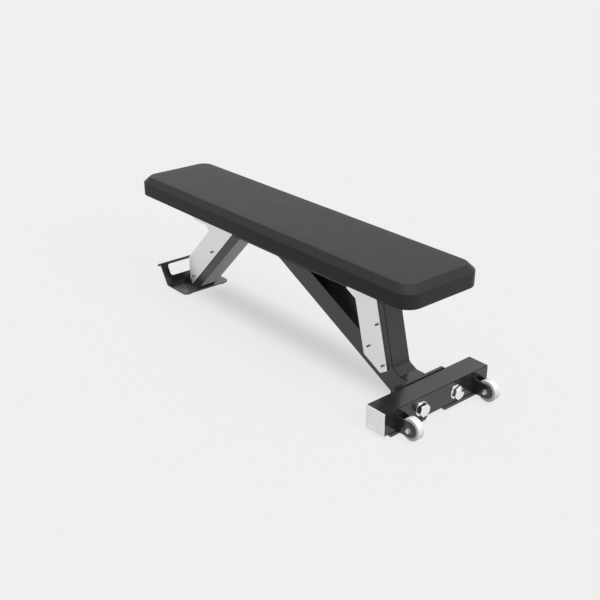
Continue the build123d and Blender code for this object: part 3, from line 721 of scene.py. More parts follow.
@dataclass
class Studio:
    """Pale floor, even bright surroundings, one soft lamp overhead and the camera."""

    azimuth: float = 49.768
    elevation: float = 24.687
    lens: float = 55.68
    sensor: float = 36.0
    far_clip: float = 200.0
    place: Triple = (2.0734, -1.7449, 1.3825)
    shift: tuple[float, float] = (0.00025, 0.0002)
    background: float = 0.857
    ambient: float = 0.27
    overhead: float = 1.68
    overhead_angle: float = 46.0
    front: float = 1.5
    front_angle: float = 40.0
    front_tilt: float = 52.0
    lamp_distance: float = 3.0
    floor_half: float = 60.0
    floor_tone: float = 0.3
    shadow_share: float = 0.1
    # shade painted on the floor: its middle and half width across, where it fades in and out
    # along X, and its depth
    shade_middle: float = 0.019
    shade_half: float = 0.125
    shade_ends: tuple[float, float, float, float] = (-0.62, -0.44, 0.46, 0.60)
    shade_depth: float = 0.24

    def build(self) -> None:
        """Make camera, surroundings, lamps and floor."""
        bpy.context.scene.view_settings.view_transform = "Standard"
        self.camera()
        self.surroundings()
        self.lamp("overhead", self.overhead, self.overhead_angle, 0.0)
        self.lamp("front", self.front, self.front_angle, self.front_tilt)
        self.floor()

    def camera(self) -> None:
        """Aim the camera at the bench from the front right."""
        data = bpy.data.cameras.new("camera")
        data.lens = self.lens
        data.sensor_width = self.sensor
        data.shift_x, data.shift_y = self.shift
        data.clip_end = self.far_clip
        camera = bpy.data.objects.new("camera", data)
        camera.location = self.place
        camera.rotation_euler = Euler(
            (math.radians(90 - self.elevation), 0, math.radians(self.azimuth))
        )
        bpy.context.scene.collection.objects.link(camera)
        bpy.context.scene.camera = camera

    def seen_directly(self, tree: bpy.types.NodeTree) -> bpy.types.NodeSocket:
        """Whether a ray is seen, reflected or refracted, and not scattered.

        Args:
            tree: Node tree that gets the nodes.

        Returns:
            Output that is 1 for such a ray.
        """
        path = tree.nodes.new("ShaderNodeLightPath")
        seen = path.outputs["Is Camera Ray"]
        for label in ("Is Glossy Ray", "Is Transmission Ray"):
            either = tree.nodes.new("ShaderNodeMath")
            either.operation = "MAXIMUM"
            tree.links.new(seen, either.inputs[0])
            tree.links.new(path.outputs[label], either.inputs[1])
            seen = either.outputs["Value"]
        return seen

    def surroundings(self) -> None:
        """Bright backdrop to look at, and a plain level of light from all round."""
        world = bpy.data.worlds.new("studio")
        bpy.context.scene.world = world
        world.use_nodes = True
        tree = world.node_tree
        lit = tree.nodes["Background"]
        lit.inputs["Color"].default_value = (1, 1, 1, 1)
        lit.inputs["Strength"].default_value = self.ambient
        seen = tree.nodes.new("ShaderNodeBackground")
        seen.inputs["Color"].default_value = (1, 1, 1, 1)
        seen.inputs["Strength"].default_value = self.background
        mix = tree.nodes.new("ShaderNodeMixShader")
        tree.links.new(self.seen_directly(tree), mix.inputs[0])
        tree.links.new(lit.outputs[0], mix.inputs[1])
        tree.links.new(seen.outputs[0], mix.inputs[2])
        tree.links.new(mix.outputs[0], tree.nodes["World Output"].inputs["Surface"])

    def lamp(self, name: str, strength: float, angle: float, tilt: float) -> None:
        """Wide soft lamp, far away.

        Args:
            name: Name of the lamp.
            strength: Light on a surface that faces it, in W/m2.
            angle: Width of the lamp as the bench sees it, in degrees.
            tilt: Degrees from straight overhead, towards the wheel end.
        """
        data = bpy.data.lights.new(name, "SUN")
        data.energy = strength
        data.angle = math.radians(angle)
        lamp = bpy.data.objects.new(name, data)
        lamp.rotation_euler = Euler((0, math.radians(tilt), 0))
        away = Vector((0, 0, self.lamp_distance))
        lamp.location = lamp.rotation_euler.to_matrix() @ away
        bpy.context.scene.collection.objects.link(lamp)

    def floor(self) -> None:
        """Pale floor with the bench's soft shadow, mostly painted, with a small share of real
        shadow.
        """
        shape = bmesh.new()
        bmesh.ops.create_grid(shape, x_segments=1, y_segments=1, size=self.floor_half)
        mesh = bpy.data.meshes.new("floor")
        shape.to_mesh(mesh)
        shape.free()
        floor = bpy.data.objects.new("floor", mesh)
        bpy.context.scene.collection.objects.link(floor)
        mesh.materials.append(self.floor_material())

    def ramp(
        self,
        tree: bpy.types.NodeTree,
        source: bpy.types.NodeSocket,
        start: float,
        end: float,
        low: float = 0.0,
        high: float = 1.0,
    ) -> bpy.types.NodeSocket:
        """Value that eases from one level to another.

        Args:
            tree: Node tree that gets the node.
            source: Output that drives it.
            start: Value of the source where it begins.
            end: Value of the source where it ends.
            low: Level at the start.
            high: Level at the end.

        Returns:
            Output with the level.
        """
        eased = tree.nodes.new("ShaderNodeMapRange")
        eased.interpolation_type = "SMOOTHSTEP"
        settings = {"From Min": start, "From Max": end, "To Min": low, "To Max": high}
        for label, value in settings.items():
            eased.inputs[label].default_value = value
        tree.links.new(source, eased.inputs["Value"])
        return eased.outputs["Result"]

    def worked(
        self,
        tree: bpy.types.NodeTree,
        operation: str,
        first: bpy.types.NodeSocket,
        second: bpy.types.NodeSocket | float = 0.0,
    ) -> bpy.types.NodeSocket:
        """Result of one sum.

        Args:
            tree: Node tree that gets the node.
            operation: Name of the operation.
            first: First term.
            second: Second term, where it has one.

        Returns:
            Output with the result.
        """
        step = tree.nodes.new("ShaderNodeMath")
        step.operation = operation
        tree.links.new(first, step.inputs[0])
        if isinstance(second, bpy.types.NodeSocket):
            tree.links.new(second, step.inputs[1])
        else:
            step.inputs[1].default_value = second
        return step.outputs["Value"]

    def shade_below(self, tree: bpy.types.NodeTree) -> bpy.types.NodeSocket:
        """Soft shade painted on the floor along the middle of the bench, by its place alone.

        Args:
            tree: Node tree that gets the nodes.

        Returns:
            Output that is 1 in the middle of the shade and 0 outside it.
        """
        spot = tree.nodes.new("ShaderNodeNewGeometry").outputs["Position"]
        apart = tree.nodes.new("ShaderNodeSeparateXYZ")
        tree.links.new(spot, apart.inputs[0])
        along, across = apart.outputs["X"], apart.outputs["Y"]
        beside = self.worked(tree, "SUBTRACT", across, self.shade_middle)
        off = self.worked(tree, "ABSOLUTE", beside)
        wide = self.ramp(tree, off, 0.0, self.shade_half, 1.0, 0.0)
        rear_start, rear_end, front_start, front_end = self.shade_ends
        rear = self.ramp(tree, along, rear_start, rear_end)
        front = self.ramp(tree, along, front_start, front_end, 1.0, 0.0)
        return self.worked(tree, "MULTIPLY", wide, self.worked(tree, "MULTIPLY", rear, front))

    def floor_material(self) -> bpy.types.Material:
        """Floor that shows the backdrop's tone, darker in a shade painted along the middle of the
        bench, with a small share of real shadow.

        Returns:
            The material.
        """
        material = bpy.data.materials.new("pale_floor")
        material.use_nodes = True
        tree = material.node_tree
        tree.nodes.remove(tree.nodes["Principled BSDF"])
        glow = tree.nodes.new("ShaderNodeEmission")
        grade = tree.nodes.new("ShaderNodeMapRange")
        grade.inputs["To Min"].default_value = self.background
        grade.inputs["To Max"].default_value = self.background * (1 - self.shade_depth)
        tree.links.new(self.shade_below(tree), grade.inputs["Value"])
        tree.links.new(grade.outputs["Result"], glow.inputs["Strength"])
        matt = tree.nodes.new("ShaderNodeBsdfDiffuse")
        matt.inputs["Color"].default_value = (self.background,) * 3 + (1,)
        shown = tree.nodes.new("ShaderNodeMixShader")
        shown.inputs[0].default_value = self.shadow_share
        tree.links.new(glow.outputs[0], shown.inputs[1])
        tree.links.new(matt.outputs[0], shown.inputs[2])
        bounce = tree.nodes.new("ShaderNodeBsdfDiffuse")
        bounce.inputs["Color"].default_value = (self.floor_tone,) * 3 + (1,)
        mix = tree.nodes.new("ShaderNodeMixShader")
        tree.links.new(self.seen_directly(tree), mix.inputs[0])
        tree.links.new(bounce.outputs[0], mix.inputs[1])
        tree.links.new(shown.outputs[0], mix.inputs[2])
        tree.links.new(mix.outputs[0], tree.nodes["Material Output"].inputs["Surface"])
        return material


# ---- Pad ---------------------------------------------------------------------------------


@dataclass
class SeatPad:
    """Firm foam pad with a bevelled border, its cover stretched tight and stapled below."""

    # outline and section of the pad
    corner: float = 50 * MM
    top_corner: float = 36 * MM
    least_corner: float = 4 * MM
    corner_tightening: float = 0.5
    bevel_run: float = 20 * MM
    bevel_rise: float = 20 * MM
    crown: float = 0.2 * MM
    crown_start: float = 0.8
    crown_run: float = 40 * MM
    crown_shares: tuple[float, ...] = (0.55, 0.7, 0.85, 0.96)
    bulge: float = 0.3 * MM
    side_radius: float = 90 * MM
    shoulder_radius: float = 4 * MM
    brow_radius: float = 2 * MM
    foot_radius: float = 0.6 * MM
    roll: float = 1.4 * MM
    roll_width: float = 5 * MM
    cover_crease: float = 60.0
    # slow unevenness of the foam below the cover, its waves counted per metre
    swell: float = 0.12 * MM
    swell_level: float = 0.8
    swell_start: float = 20 * MM
    broad_waves: float = 9.0
    fine_waves: float = 22.0
    fine_share: float = 0.5
    # pocket that the board fills
    board_margin: float = 12 * MM
    board_corner: float = 40 * MM
    board_thickness: float = 15 * MM
    board_clearance: float = 0.05 * MM
    # turned-in edge of the cover
    hem_outer: float = 6 * MM
    hem_inner: float = 27 * MM
    hem_fold: float = 2 * MM
    hem_cut: float = 0.5 * MM
    hem_thickness: float = 0.8 * MM
    hem_ragged: float = 1.2 * MM
    hem_ragged_from: float = 0.9
    hem_ragged_waves: float = 25.0
    hem_ragged_layer: float = 3.0
    hem_crease: float = 40.0
    pleat: float = 0.9 * MM
    pleats: float = 10.0
    # staples through the hem
    staple_line: float = 0.7
    staple_pitch: float = 38 * MM
    staple_crown: float = 11 * MM
    staple_wire: float = 0.9 * MM
    # faces of the mesh
    corner_steps: int = 18
    long_steps: int = 110
    short_steps: int = 30
    arc_steps: int = 6
    # taken from the model when the pad is built
    middle: Vector = field(init=False)
    length: float = field(init=False)
    width: float = field(init=False)
    bottom: float = field(init=False)
    top: float = field(init=False)

    def build(self, palette: Palette) -> None:
        """Make the cushion, the hem of its cover and the staples, and dress the board.

        Args:
            palette: Materials of the bench.
        """
        low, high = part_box("pad_cushion")
        self.middle = (low + high) / 2
        self.length = high.x - low.x
        self.width = high.y - low.y
        self.bottom = low.z
        self.top = high.z
        self.cushion(palette)
        self.hem(palette)
        self.staples(palette)
        for node in ("pad_board", "pad_tee_nuts", "pad_bolts", "pad_washers"):
            palette.paint_node(node)

    def outline(self, inset: float, radius: float) -> list[tuple[float, float]]:
        """Rounded rectangle inside the pad's outline, always with the same count of points.

        Args:
            inset: Distance in from the pad's outline.
            radius: Corner radius.

        Returns:
            Points of the outline.
        """
        half_x, half_y = self.length / 2 - inset, self.width / 2 - inset
        radius = min(radius, half_x, half_y)
        quarters = ((1, 1, 0), (-1, 1, 90), (-1, -1, 180), (1, -1, 270))
        points: list[tuple[float, float]] = []
        for number, (side_x, side_y, start) in enumerate(quarters):
            centre_x = side_x * (half_x - radius)
            centre_y = side_y * (half_y - radius)
            for step in range(self.corner_steps + 1):
                angle = math.radians(start + 90 * step / self.corner_steps)
                across = centre_x + radius * math.cos(angle)
                points.append((across, centre_y + radius * math.sin(angle)))
            steps = self.long_steps if number % 2 == 0 else self.short_steps
            last = points[-1]
            side_x, side_y, _ = quarters[(number + 1) % 4]
            goal = (side_x * (half_x - radius), side_y * (half_y - radius))
            if number % 2 == 0:
                goal = (goal[0], last[1])
            else:
                goal = (last[0], goal[1])
            for step in range(1, steps):
                share = step / steps
                across = last[0] + (goal[0] - last[0]) * share
                points.append((across, last[1] + (goal[1] - last[1]) * share))
        return points

    def corner_at(self, inset: float) -> float:
        """Corner radius of the pad at a distance in from its outline.

        Args:
            inset: Distance in from the outline.

        Returns:
            Corner radius there.
        """
        if inset <= self.bevel_run:
            share = max(0.0, inset) / self.bevel_run
            return self.corner + (self.top_corner - self.corner) * share
        tightened = self.corner_tightening * (inset - self.bevel_run)
        return max(self.top_corner - tightened, self.least_corner)

    def section(self) -> list[tuple[float, float]]:
        """Half section of the pad, from its underside round to the middle of its top.

        Returns:
            Points as inset and height.
        """
        edge = self.top - self.crown
        shoulder = self.top - self.bevel_rise
        middle = (self.bottom + shoulder) / 2
        rolled = self.bottom - self.roll
        side = filleted(
            (
                (self.board_margin, self.bottom),
                (self.roll_width + self.roll, self.bottom),
                (self.roll_width, rolled),
                (self.bulge, rolled),
                (0.0, middle),
                (self.bulge / 2, shoulder),
                (self.bevel_run, edge),
                (self.bevel_run + self.crown_run, edge + self.crown_start * self.crown),
            ),
            (
                0,
                self.foot_radius,
                self.foot_radius,
                self.side_radius,
                self.shoulder_radius,
                self.brow_radius,
            ),
            self.arc_steps,
        )
        reach = self.width / 2
        for share in self.crown_shares:
            inset = reach * share
            rise = 1 - ((reach - inset) / (reach - self.bevel_run)) ** 2
            side.append((inset, edge + self.crown * min(1.0, rise)))
        return side

    def cushion(self, palette: Palette) -> None:
        """Make the covered cushion, with the pocket that the board fills.

        Args:
            palette: Materials of the bench.
        """
        pocket = self.board_margin - self.board_clearance
        ceiling = self.bottom + self.board_thickness + self.board_clearance
        lining = [(pocket, ceiling), (pocket, self.bottom)]
        rings = [self.ring(inset, height, self.board_corner) for inset, height in lining]
        for inset, height in self.section()[1:]:
            rings.append(self.ring(inset, height, self.corner_at(inset), self.swell))
        shape = bmesh.new()
        skin(shape, rings)
        piece = new_piece("cushion_cover", shape, Body.FRAME, self.cover_crease)
        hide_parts("pad_cushion")
        palette.paint(piece, Slot.UPHOLSTERY)

    def ring(self, inset: float, height: float, radius: float, swell: float = 0.0) -> Ring:
        """One ring of the cushion.

        Args:
            inset: Distance in from the outline.
            height: Height above the floor.
            radius: Corner radius.
            swell: Height of the gentle unevenness of the foam below the cover.

        Returns:
            Points of the ring.
        """
        points = []
        for along, across in self.outline(inset, radius):
            point = Vector((self.middle.x + along, self.middle.y + across, height))
            if swell:
                fine = self.fine_share * noise.noise(point * self.fine_waves)
                drift = noise.noise(point * self.broad_waves) + fine
                fade = min(1.0, max(0.0, (height - self.bottom) / self.swell_start))
                point.z += swell * fade * (drift - self.swell_level)
            points.append(point)
        return points

    def hem(self, palette: Palette) -> None:
        """Make the turned-in edge of the cover below the pad, pleated at the corners.

        Args:
            palette: Materials of the bench.
        """
        middle = (self.hem_outer + self.hem_inner) / 2
        profile = (
            (self.hem_outer, 0.0),
            (self.hem_outer + self.hem_fold, self.hem_thickness),
            (middle, self.hem_thickness),
            (self.hem_inner - self.hem_cut, self.hem_thickness),
            (self.hem_inner, 0.0),
        )
        shape = bmesh.new()
        skin(shape, [self.hem_ring(inset, drop) for inset, drop in profile], loop=True)
        piece = new_piece("cover_hem", shape, Body.FRAME, self.hem_crease)
        palette.paint(piece, Slot.UPHOLSTERY)

    def hem_ring(self, inset: float, drop: float) -> Ring:
        """One ring of the hem.

        Args:
            inset: Distance in from the pad's outline.
            drop: How far it lies below the pad.

        Returns:
            Points of the ring.
        """
        points = []
        radius = self.corner_at(inset)
        side_x = self.length / 2 - inset - radius
        side_y = self.width / 2 - inset - radius
        for along, across in self.outline(inset, radius):
            fold, ragged = 0.0, 0.0
            if abs(along) > side_x and abs(across) > side_y:
                angle = math.atan2(abs(across) - side_y, abs(along) - side_x)
                fold = self.pleat * max(0.0, math.sin(angle * self.pleats)) if drop else 0.0
            if inset > self.hem_ragged_from * self.hem_inner:
                waves = self.hem_ragged_waves
                place = Vector((along * waves, across * waves, self.hem_ragged_layer))
                ragged = self.hem_ragged * noise.noise(place)
            points.append(
                Vector(
                    (
                        self.middle.x + along * (1 - ragged / (self.length / 2)),
                        self.middle.y + across * (1 - ragged / (self.width / 2)),
                        self.bottom - drop - fold,
                    )
                )
            )
        return points

    def staples(self, palette: Palette) -> None:
        """Drive a row of staples through the hem into the board.

        Args:
            palette: Materials of the bench.
        """
        inset = self.staple_line * self.hem_inner
        shape = bmesh.new()
        height = self.bottom - self.hem_thickness
        radius = self.corner_at(inset)
        path = [Vector((x, y, 0)) for x, y in self.outline(inset, radius)]
        path.append(path[0])
        travelled, due = 0.0, self.staple_pitch / 2
        for start, end in zip(path, path[1:]):
            step = (end - start).length
            while step > 0 and travelled + step >= due:
                spot = start.lerp(end, (due - travelled) / step)
                direction = (end - start).normalized()
                self.staple(shape, spot, direction, height)
                due += self.staple_pitch
            travelled += step
        piece = new_piece("pad_staples", shape, Body.FRAME)
        palette.paint(piece, Slot.ZINC)

    def staple(
        self, shape: bmesh.types.BMesh, spot: Vector, direction: Vector, height: float
    ) -> None:
        """Add the crown of one staple, with its ends turned into the hem.

        Args:
            shape: Mesh that gets the staple.
            spot: Middle of the staple, measured from the pad's middle.
            direction: Way that it lies.
            height: Underside of the hem.
        """
        wire = self.staple_wire
        half = self.staple_crown / 2
        side = Vector((-direction.y, direction.x, 0)) * wire / 2
        centre = Vector((self.middle.x + spot.x, self.middle.y + spot.y, height))
        rings = []
        for along, drop in ((-half, -wire), (-half + wire, wire / 2), (half - wire, wire / 2)):
            rings.append(self.staple_ring(centre + direction * along, side, drop))
        rings.append(self.staple_ring(centre + direction * half, side, -wire))
        skin(shape, rings)

    def staple_ring(self, middle: Vector, side: Vector, drop: float) -> Ring:
        """Square section of the staple's wire.

        Args:
            middle: Point on the hem above the section.
            side: Half of the wire's width, as a vector.
            drop: How far the lower face stands below the hem.

        Returns:
            The section's corners.
        """
        lower = middle - Vector((0, 0, drop))
        upper = lower + Vector((0, 0, self.staple_wire))
        return [lower - side, lower + side, upper + side, upper - side]


# ---- Frame -------------------------------------------------------------------------------


@dataclass(frozen=True)
class SectionPoint:
    """Point on the outline of a tube's section."""

    across: float
    rise: float
    facing: tuple[float, float]
    film: float


def square_section(
    size: float, corner: float, strip: float, steps: int = 4
) -> list[SectionPoint]:
    """Outline of a square tube with rounded corners.

    Args:
        size: Width of the square.
        corner: Corner radius.
        strip: Width on each side of a corner over which its thin paint fades out.
        steps: Pieces of each corner's arc.

    Returns:
        Points of the outline, one corner after the other.
    """
    inner = size / 2 - corner
    points = []
    for number, (side_y, side_up) in enumerate(((1, 1), (-1, 1), (-1, -1), (1, -1))):
        for step in range(-1, steps + 2):
            angle = math.radians(90 * number + 90 * min(max(step, 0), steps) / steps)
            out = (math.cos(angle), math.sin(angle))
            beside = {-1: -strip, steps + 1: strip}.get(step, 0.0)
            across = side_y * inner + corner * out[0] - beside * out[1]
            rise = side_up * inner + corner * out[1] + beside * out[0]
            points.append(SectionPoint(across, rise, out, 0.0 if beside else 1.0))
    return points


@dataclass(frozen=True)
class TubeRun:
    """Straight tube: a point on its centre line, its run and the planes that end it.

    Its side is square to the run. Where it is full below, the paint on its lower corners is as
    thick as on its walls.
    """

    node: str
    on_axis: Vector
    run: Vector
    start: Vector
    start_normal: Vector
    end: Vector
    end_normal: Vector
    side: Vector = Vector((0, 1, 0))
    full_below: bool = False

    def out(self, across: float, rise: float) -> Vector:
        """Turn a place on the section into a step away from the centre line."""
        return self.side * across + self.run.cross(self.side) * rise

    def ring(self, section: Sequence[SectionPoint], on_plane: Vector, normal: Vector) -> Ring:
        """Outline where a plane cuts the tube.

        Args:
            section: Outline of the tube's section.
            on_plane: Point on the plane.
            normal: Way that the plane faces.

        Returns:
            Points of the outline.
        """
        points = []
        for spot in section:
            start = self.on_axis + self.out(spot.across, spot.rise)
            travel = (on_plane - start).dot(normal) / self.run.dot(normal)
            points.append(start + self.run * travel)
        return points


def resampled(path: Sequence[Vector], pitch: float, closed: bool) -> list[Vector]:
    """Points at even steps along a path.

    Args:
        path: Corners of the path.
        pitch: Wanted distance between points.
        closed: Whether the path returns to its start.

    Returns:
        The points.
    """
    ends = list(path) + ([path[0]] if closed else [])
    lengths = [(b - a).length for a, b in zip(ends, ends[1:])]
    count = max(3, round(sum(lengths) / pitch))
    step = sum(lengths) / count
    points, leg, start = [], 0, 0.0
    for index in range(count if closed else count + 1):
        goal = min(index * step, sum(lengths) - TINY)
        while goal > start + lengths[leg]:
            start += lengths[leg]
            leg += 1
        points.append(ends[leg].lerp(ends[leg + 1], (goal - start) / lengths[leg]))
    return points


@dataclass(frozen=True)
class WeldBead:
    """Rippled weld bead, a little uneven from ripple to ripple and thinner at open ends."""

    radius: float
    ripple: float
    sides: int = 8
    steps: int = 4
    ripple_height: float = 0.13
    drift: float = 0.06
    drift_pace: float = 0.37
    end_share: float = 0.6
    crease: float = 60.0
    off_run: Triple = (0.31, 0.17, 0.93)

    def lay(self, shape: bmesh.types.BMesh, path: Sequence[Vector], closed: bool) -> None:
        """Lay the bead along a path.

        Args:
            shape: Mesh that gets the bead.
            path: Corners of the path.
            closed: Whether the bead returns to its start.
        """
        points = resampled(path, self.ripple / self.steps, closed)
        count = len(points)
        rings = []
        for index, point in enumerate(points):
            before = points[index - 1] if closed or index else point
            after = points[(index + 1) % count] if closed or index < count - 1 else point
            rings.append(self.ring(point, (after - before).normalized(), index))
        if not closed:
            for ring, point in ((rings[0], points[0]), (rings[-1], points[-1])):
                for number, corner in enumerate(ring):
                    ring[number] = point.lerp(corner, self.end_share)
        skin(shape, rings, loop=closed)

    def ring(self, point: Vector, run: Vector, index: int) -> Ring:
        """One section of the bead.

        Args:
            point: Middle of the section.
            run: Way that the bead runs there.
            index: Number of the section, which sets its place in the ripple.

        Returns:
            Points of the section.
        """
        side = run.cross(Vector(self.off_run)).normalized()
        top = run.cross(side)
        wave = 1 + self.ripple_height * math.sin(index * math.tau / self.steps)
        wave += self.drift * math.sin(index * self.drift_pace)
        points = []
        for step in range(self.sides):
            turn = math.tau * step / self.sides
            out = side * math.cos(turn) + top * math.sin(turn)
            points.append(point + out * (self.radius * wave))
        return points


@dataclass
class WeldedFrame:
    """Square tubes of the frame with the weld beads that join them."""

    tube: float = 70 * MM
    wall: float = 3 * MM
    corner: float = 1.2 * MM
    bore_corner: float = 1 * MM
    film_strip: float = 1.6 * MM
    leg_angle: float = 46.0
    spine_angle: float = 27.0
    post_angle: float = 75.5
    elbow_run: float = 37 * MM
    bracket_edge: float = 0.6 * MM
    plug_edge: float = 0.5 * MM
    bead: float = 1.3 * MM
    ripple: float = 3.0 * MM

    def build(self, palette: Palette) -> None:
        """Make the tubes, dress what they carry and lay the weld beads.

        Args:
            palette: Materials of the bench.
        """
        runs = self.runs()
        for run in runs.values():
            self.tube_piece(palette, run)
        for place in ("front", "middle", "rear"):
            softened(palette, f"pad_bracket_{place}", self.bracket_edge)
        for place in ("front", "rear"):
            softened(palette, f"rail_plug_{place}", self.plug_edge)
        self.beads(palette, runs)

    def heading(self, angle: float) -> Vector:
        """Unit vector of the side view, at an angle in degrees above +X."""
        return Vector((math.cos(math.radians(angle)), 0, math.sin(math.radians(angle))))

    def runs(self) -> dict[str, TubeRun]:
        """Take the places of the tubes from the model.

        Returns:
            Tubes by node.
        """
        half = self.tube / 2
        up, ahead, left = Vector((0, 0, 1)), Vector((1, 0, 0)), Vector((0, 1, 0))
        rail_low, rail_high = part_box("top_rail")
        leg_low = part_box("rear_leg")[0]
        cross_low, cross_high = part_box("cross_tube")
        flange = Vector((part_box("flange_plate")[0].x, 0, 0))
        heel = Vector((leg_low.x, 0, leg_low.z))
        elbow = Vector((flange.x - self.elbow_run, 0, cross_high.z))
        post_top = Vector((rail_high.x, 0, rail_low.z))
        spine_up = self.heading(90 - self.spine_angle)
        mitre = self.heading(-self.spine_angle / 2)
        rail_axis = (rail_low + rail_high) / 2
        cross_axis = (cross_low + cross_high) / 2
        leg_axis = heel - self.heading(90 + self.leg_angle) * half
        spine_axis = elbow - spine_up * half
        post_axis = post_top - self.heading(90 - self.post_angle) * half
        leg_run = self.heading(self.leg_angle)
        spine_run = self.heading(-self.spine_angle)
        post_run = self.heading(-self.post_angle)
        tubes = (
            TubeRun("top_rail", rail_axis, ahead, rail_low, ahead, rail_high, ahead),
            TubeRun(
                "cross_tube",
                cross_axis,
                left,
                cross_low,
                left,
                cross_high,
                left,
                side=ahead,
                full_below=True,
            ),
            TubeRun("rear_leg", leg_axis, leg_run, heel, up, rail_low, up, full_below=True),
            TubeRun("spine_tube", spine_axis, spine_run, rail_low, up, elbow, mitre),
            TubeRun("spine_foot", elbow - up * half, ahead, elbow, mitre, flange, ahead),
            TubeRun("front_post", post_axis, post_run, rail_low, up, elbow, spine_up),
        )
        return {tube.node: tube for tube in tubes}

    def tube_piece(self, palette: Palette, run: TubeRun) -> None:
        """Make one hollow tube, flat-shaded but for its rounded corners.

        Args:
            palette: Materials of the bench.
            run: The tube.
        """
        outside = square_section(self.tube, self.corner, self.film_strip)
        bore = square_section(self.tube - 2 * self.wall, self.bore_corner, self.film_strip)
        start, end = (run.start, run.start_normal), (run.end, run.end_normal)
        rings = [
            run.ring(outside, *start),
            run.ring(outside, *end),
            run.ring(bore, *end),
            run.ring(bore, *start),
        ]
        shape = bmesh.new()
        skin(shape, rings, loop=True)
        piece = new_piece(f"{run.node}_walls", shape, Body.FRAME)
        self.shade_walls(piece.data, run, outside)
        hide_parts(run.node)
        palette.paint(piece, Slot.FRAME_PAINT)

    def shade_walls(
        self, mesh: bpy.types.Mesh, run: TubeRun, section: Sequence[SectionPoint]
    ) -> None:
        """Set the normals of a tube's walls and mark the thin paint on its corners.

        Args:
            mesh: The tube, its faces in four bands: outside, end, bore and start.
            run: Where the tube runs.
            section: Outline of its section.
        """
        count = len(section)
        outward = [run.out(*spot.facing) for spot in section]
        normals = []
        for face in mesh.polygons:
            band = face.index // count
            for vertex in face.vertices:
                way = outward[vertex % count]
                normals.append((way, face.normal, -way, face.normal)[band])
        mesh.normals_split_custom_set(normals)
        film = mesh.attributes.new(THIN_FILM, "FLOAT", "POINT")
        for index, value in enumerate(film.data):
            spot = section[index % count]
            below = run.out(spot.across, spot.rise).z < 0
            value.value = 0.0 if index >= 2 * count or (run.full_below and below) else spot.film

    def beads(self, palette: Palette, runs: dict[str, TubeRun]) -> None:
        """Lay a bead round each joint of the tubes but the ground mitre at the elbow.

        Args:
            palette: Materials of the bench.
            runs: Tubes by node.
        """
        section = square_section(self.tube, self.corner, self.film_strip)
        bead = WeldBead(self.bead, self.ripple)
        shape = bmesh.new()
        for node in ("rear_leg", "spine_tube", "front_post"):
            run = runs[node]
            bead.lay(shape, run.ring(section, run.start, run.start_normal), closed=True)
        for node in ("rear_leg", "front_post", "spine_foot"):
            run = runs[node]
            bead.lay(shape, run.ring(section, run.end, run.end_normal), closed=True)
        piece = new_piece("weld_beads", shape, Body.FRAME, bead.crease)
        palette.paint(piece, Slot.FRAME_PAINT)


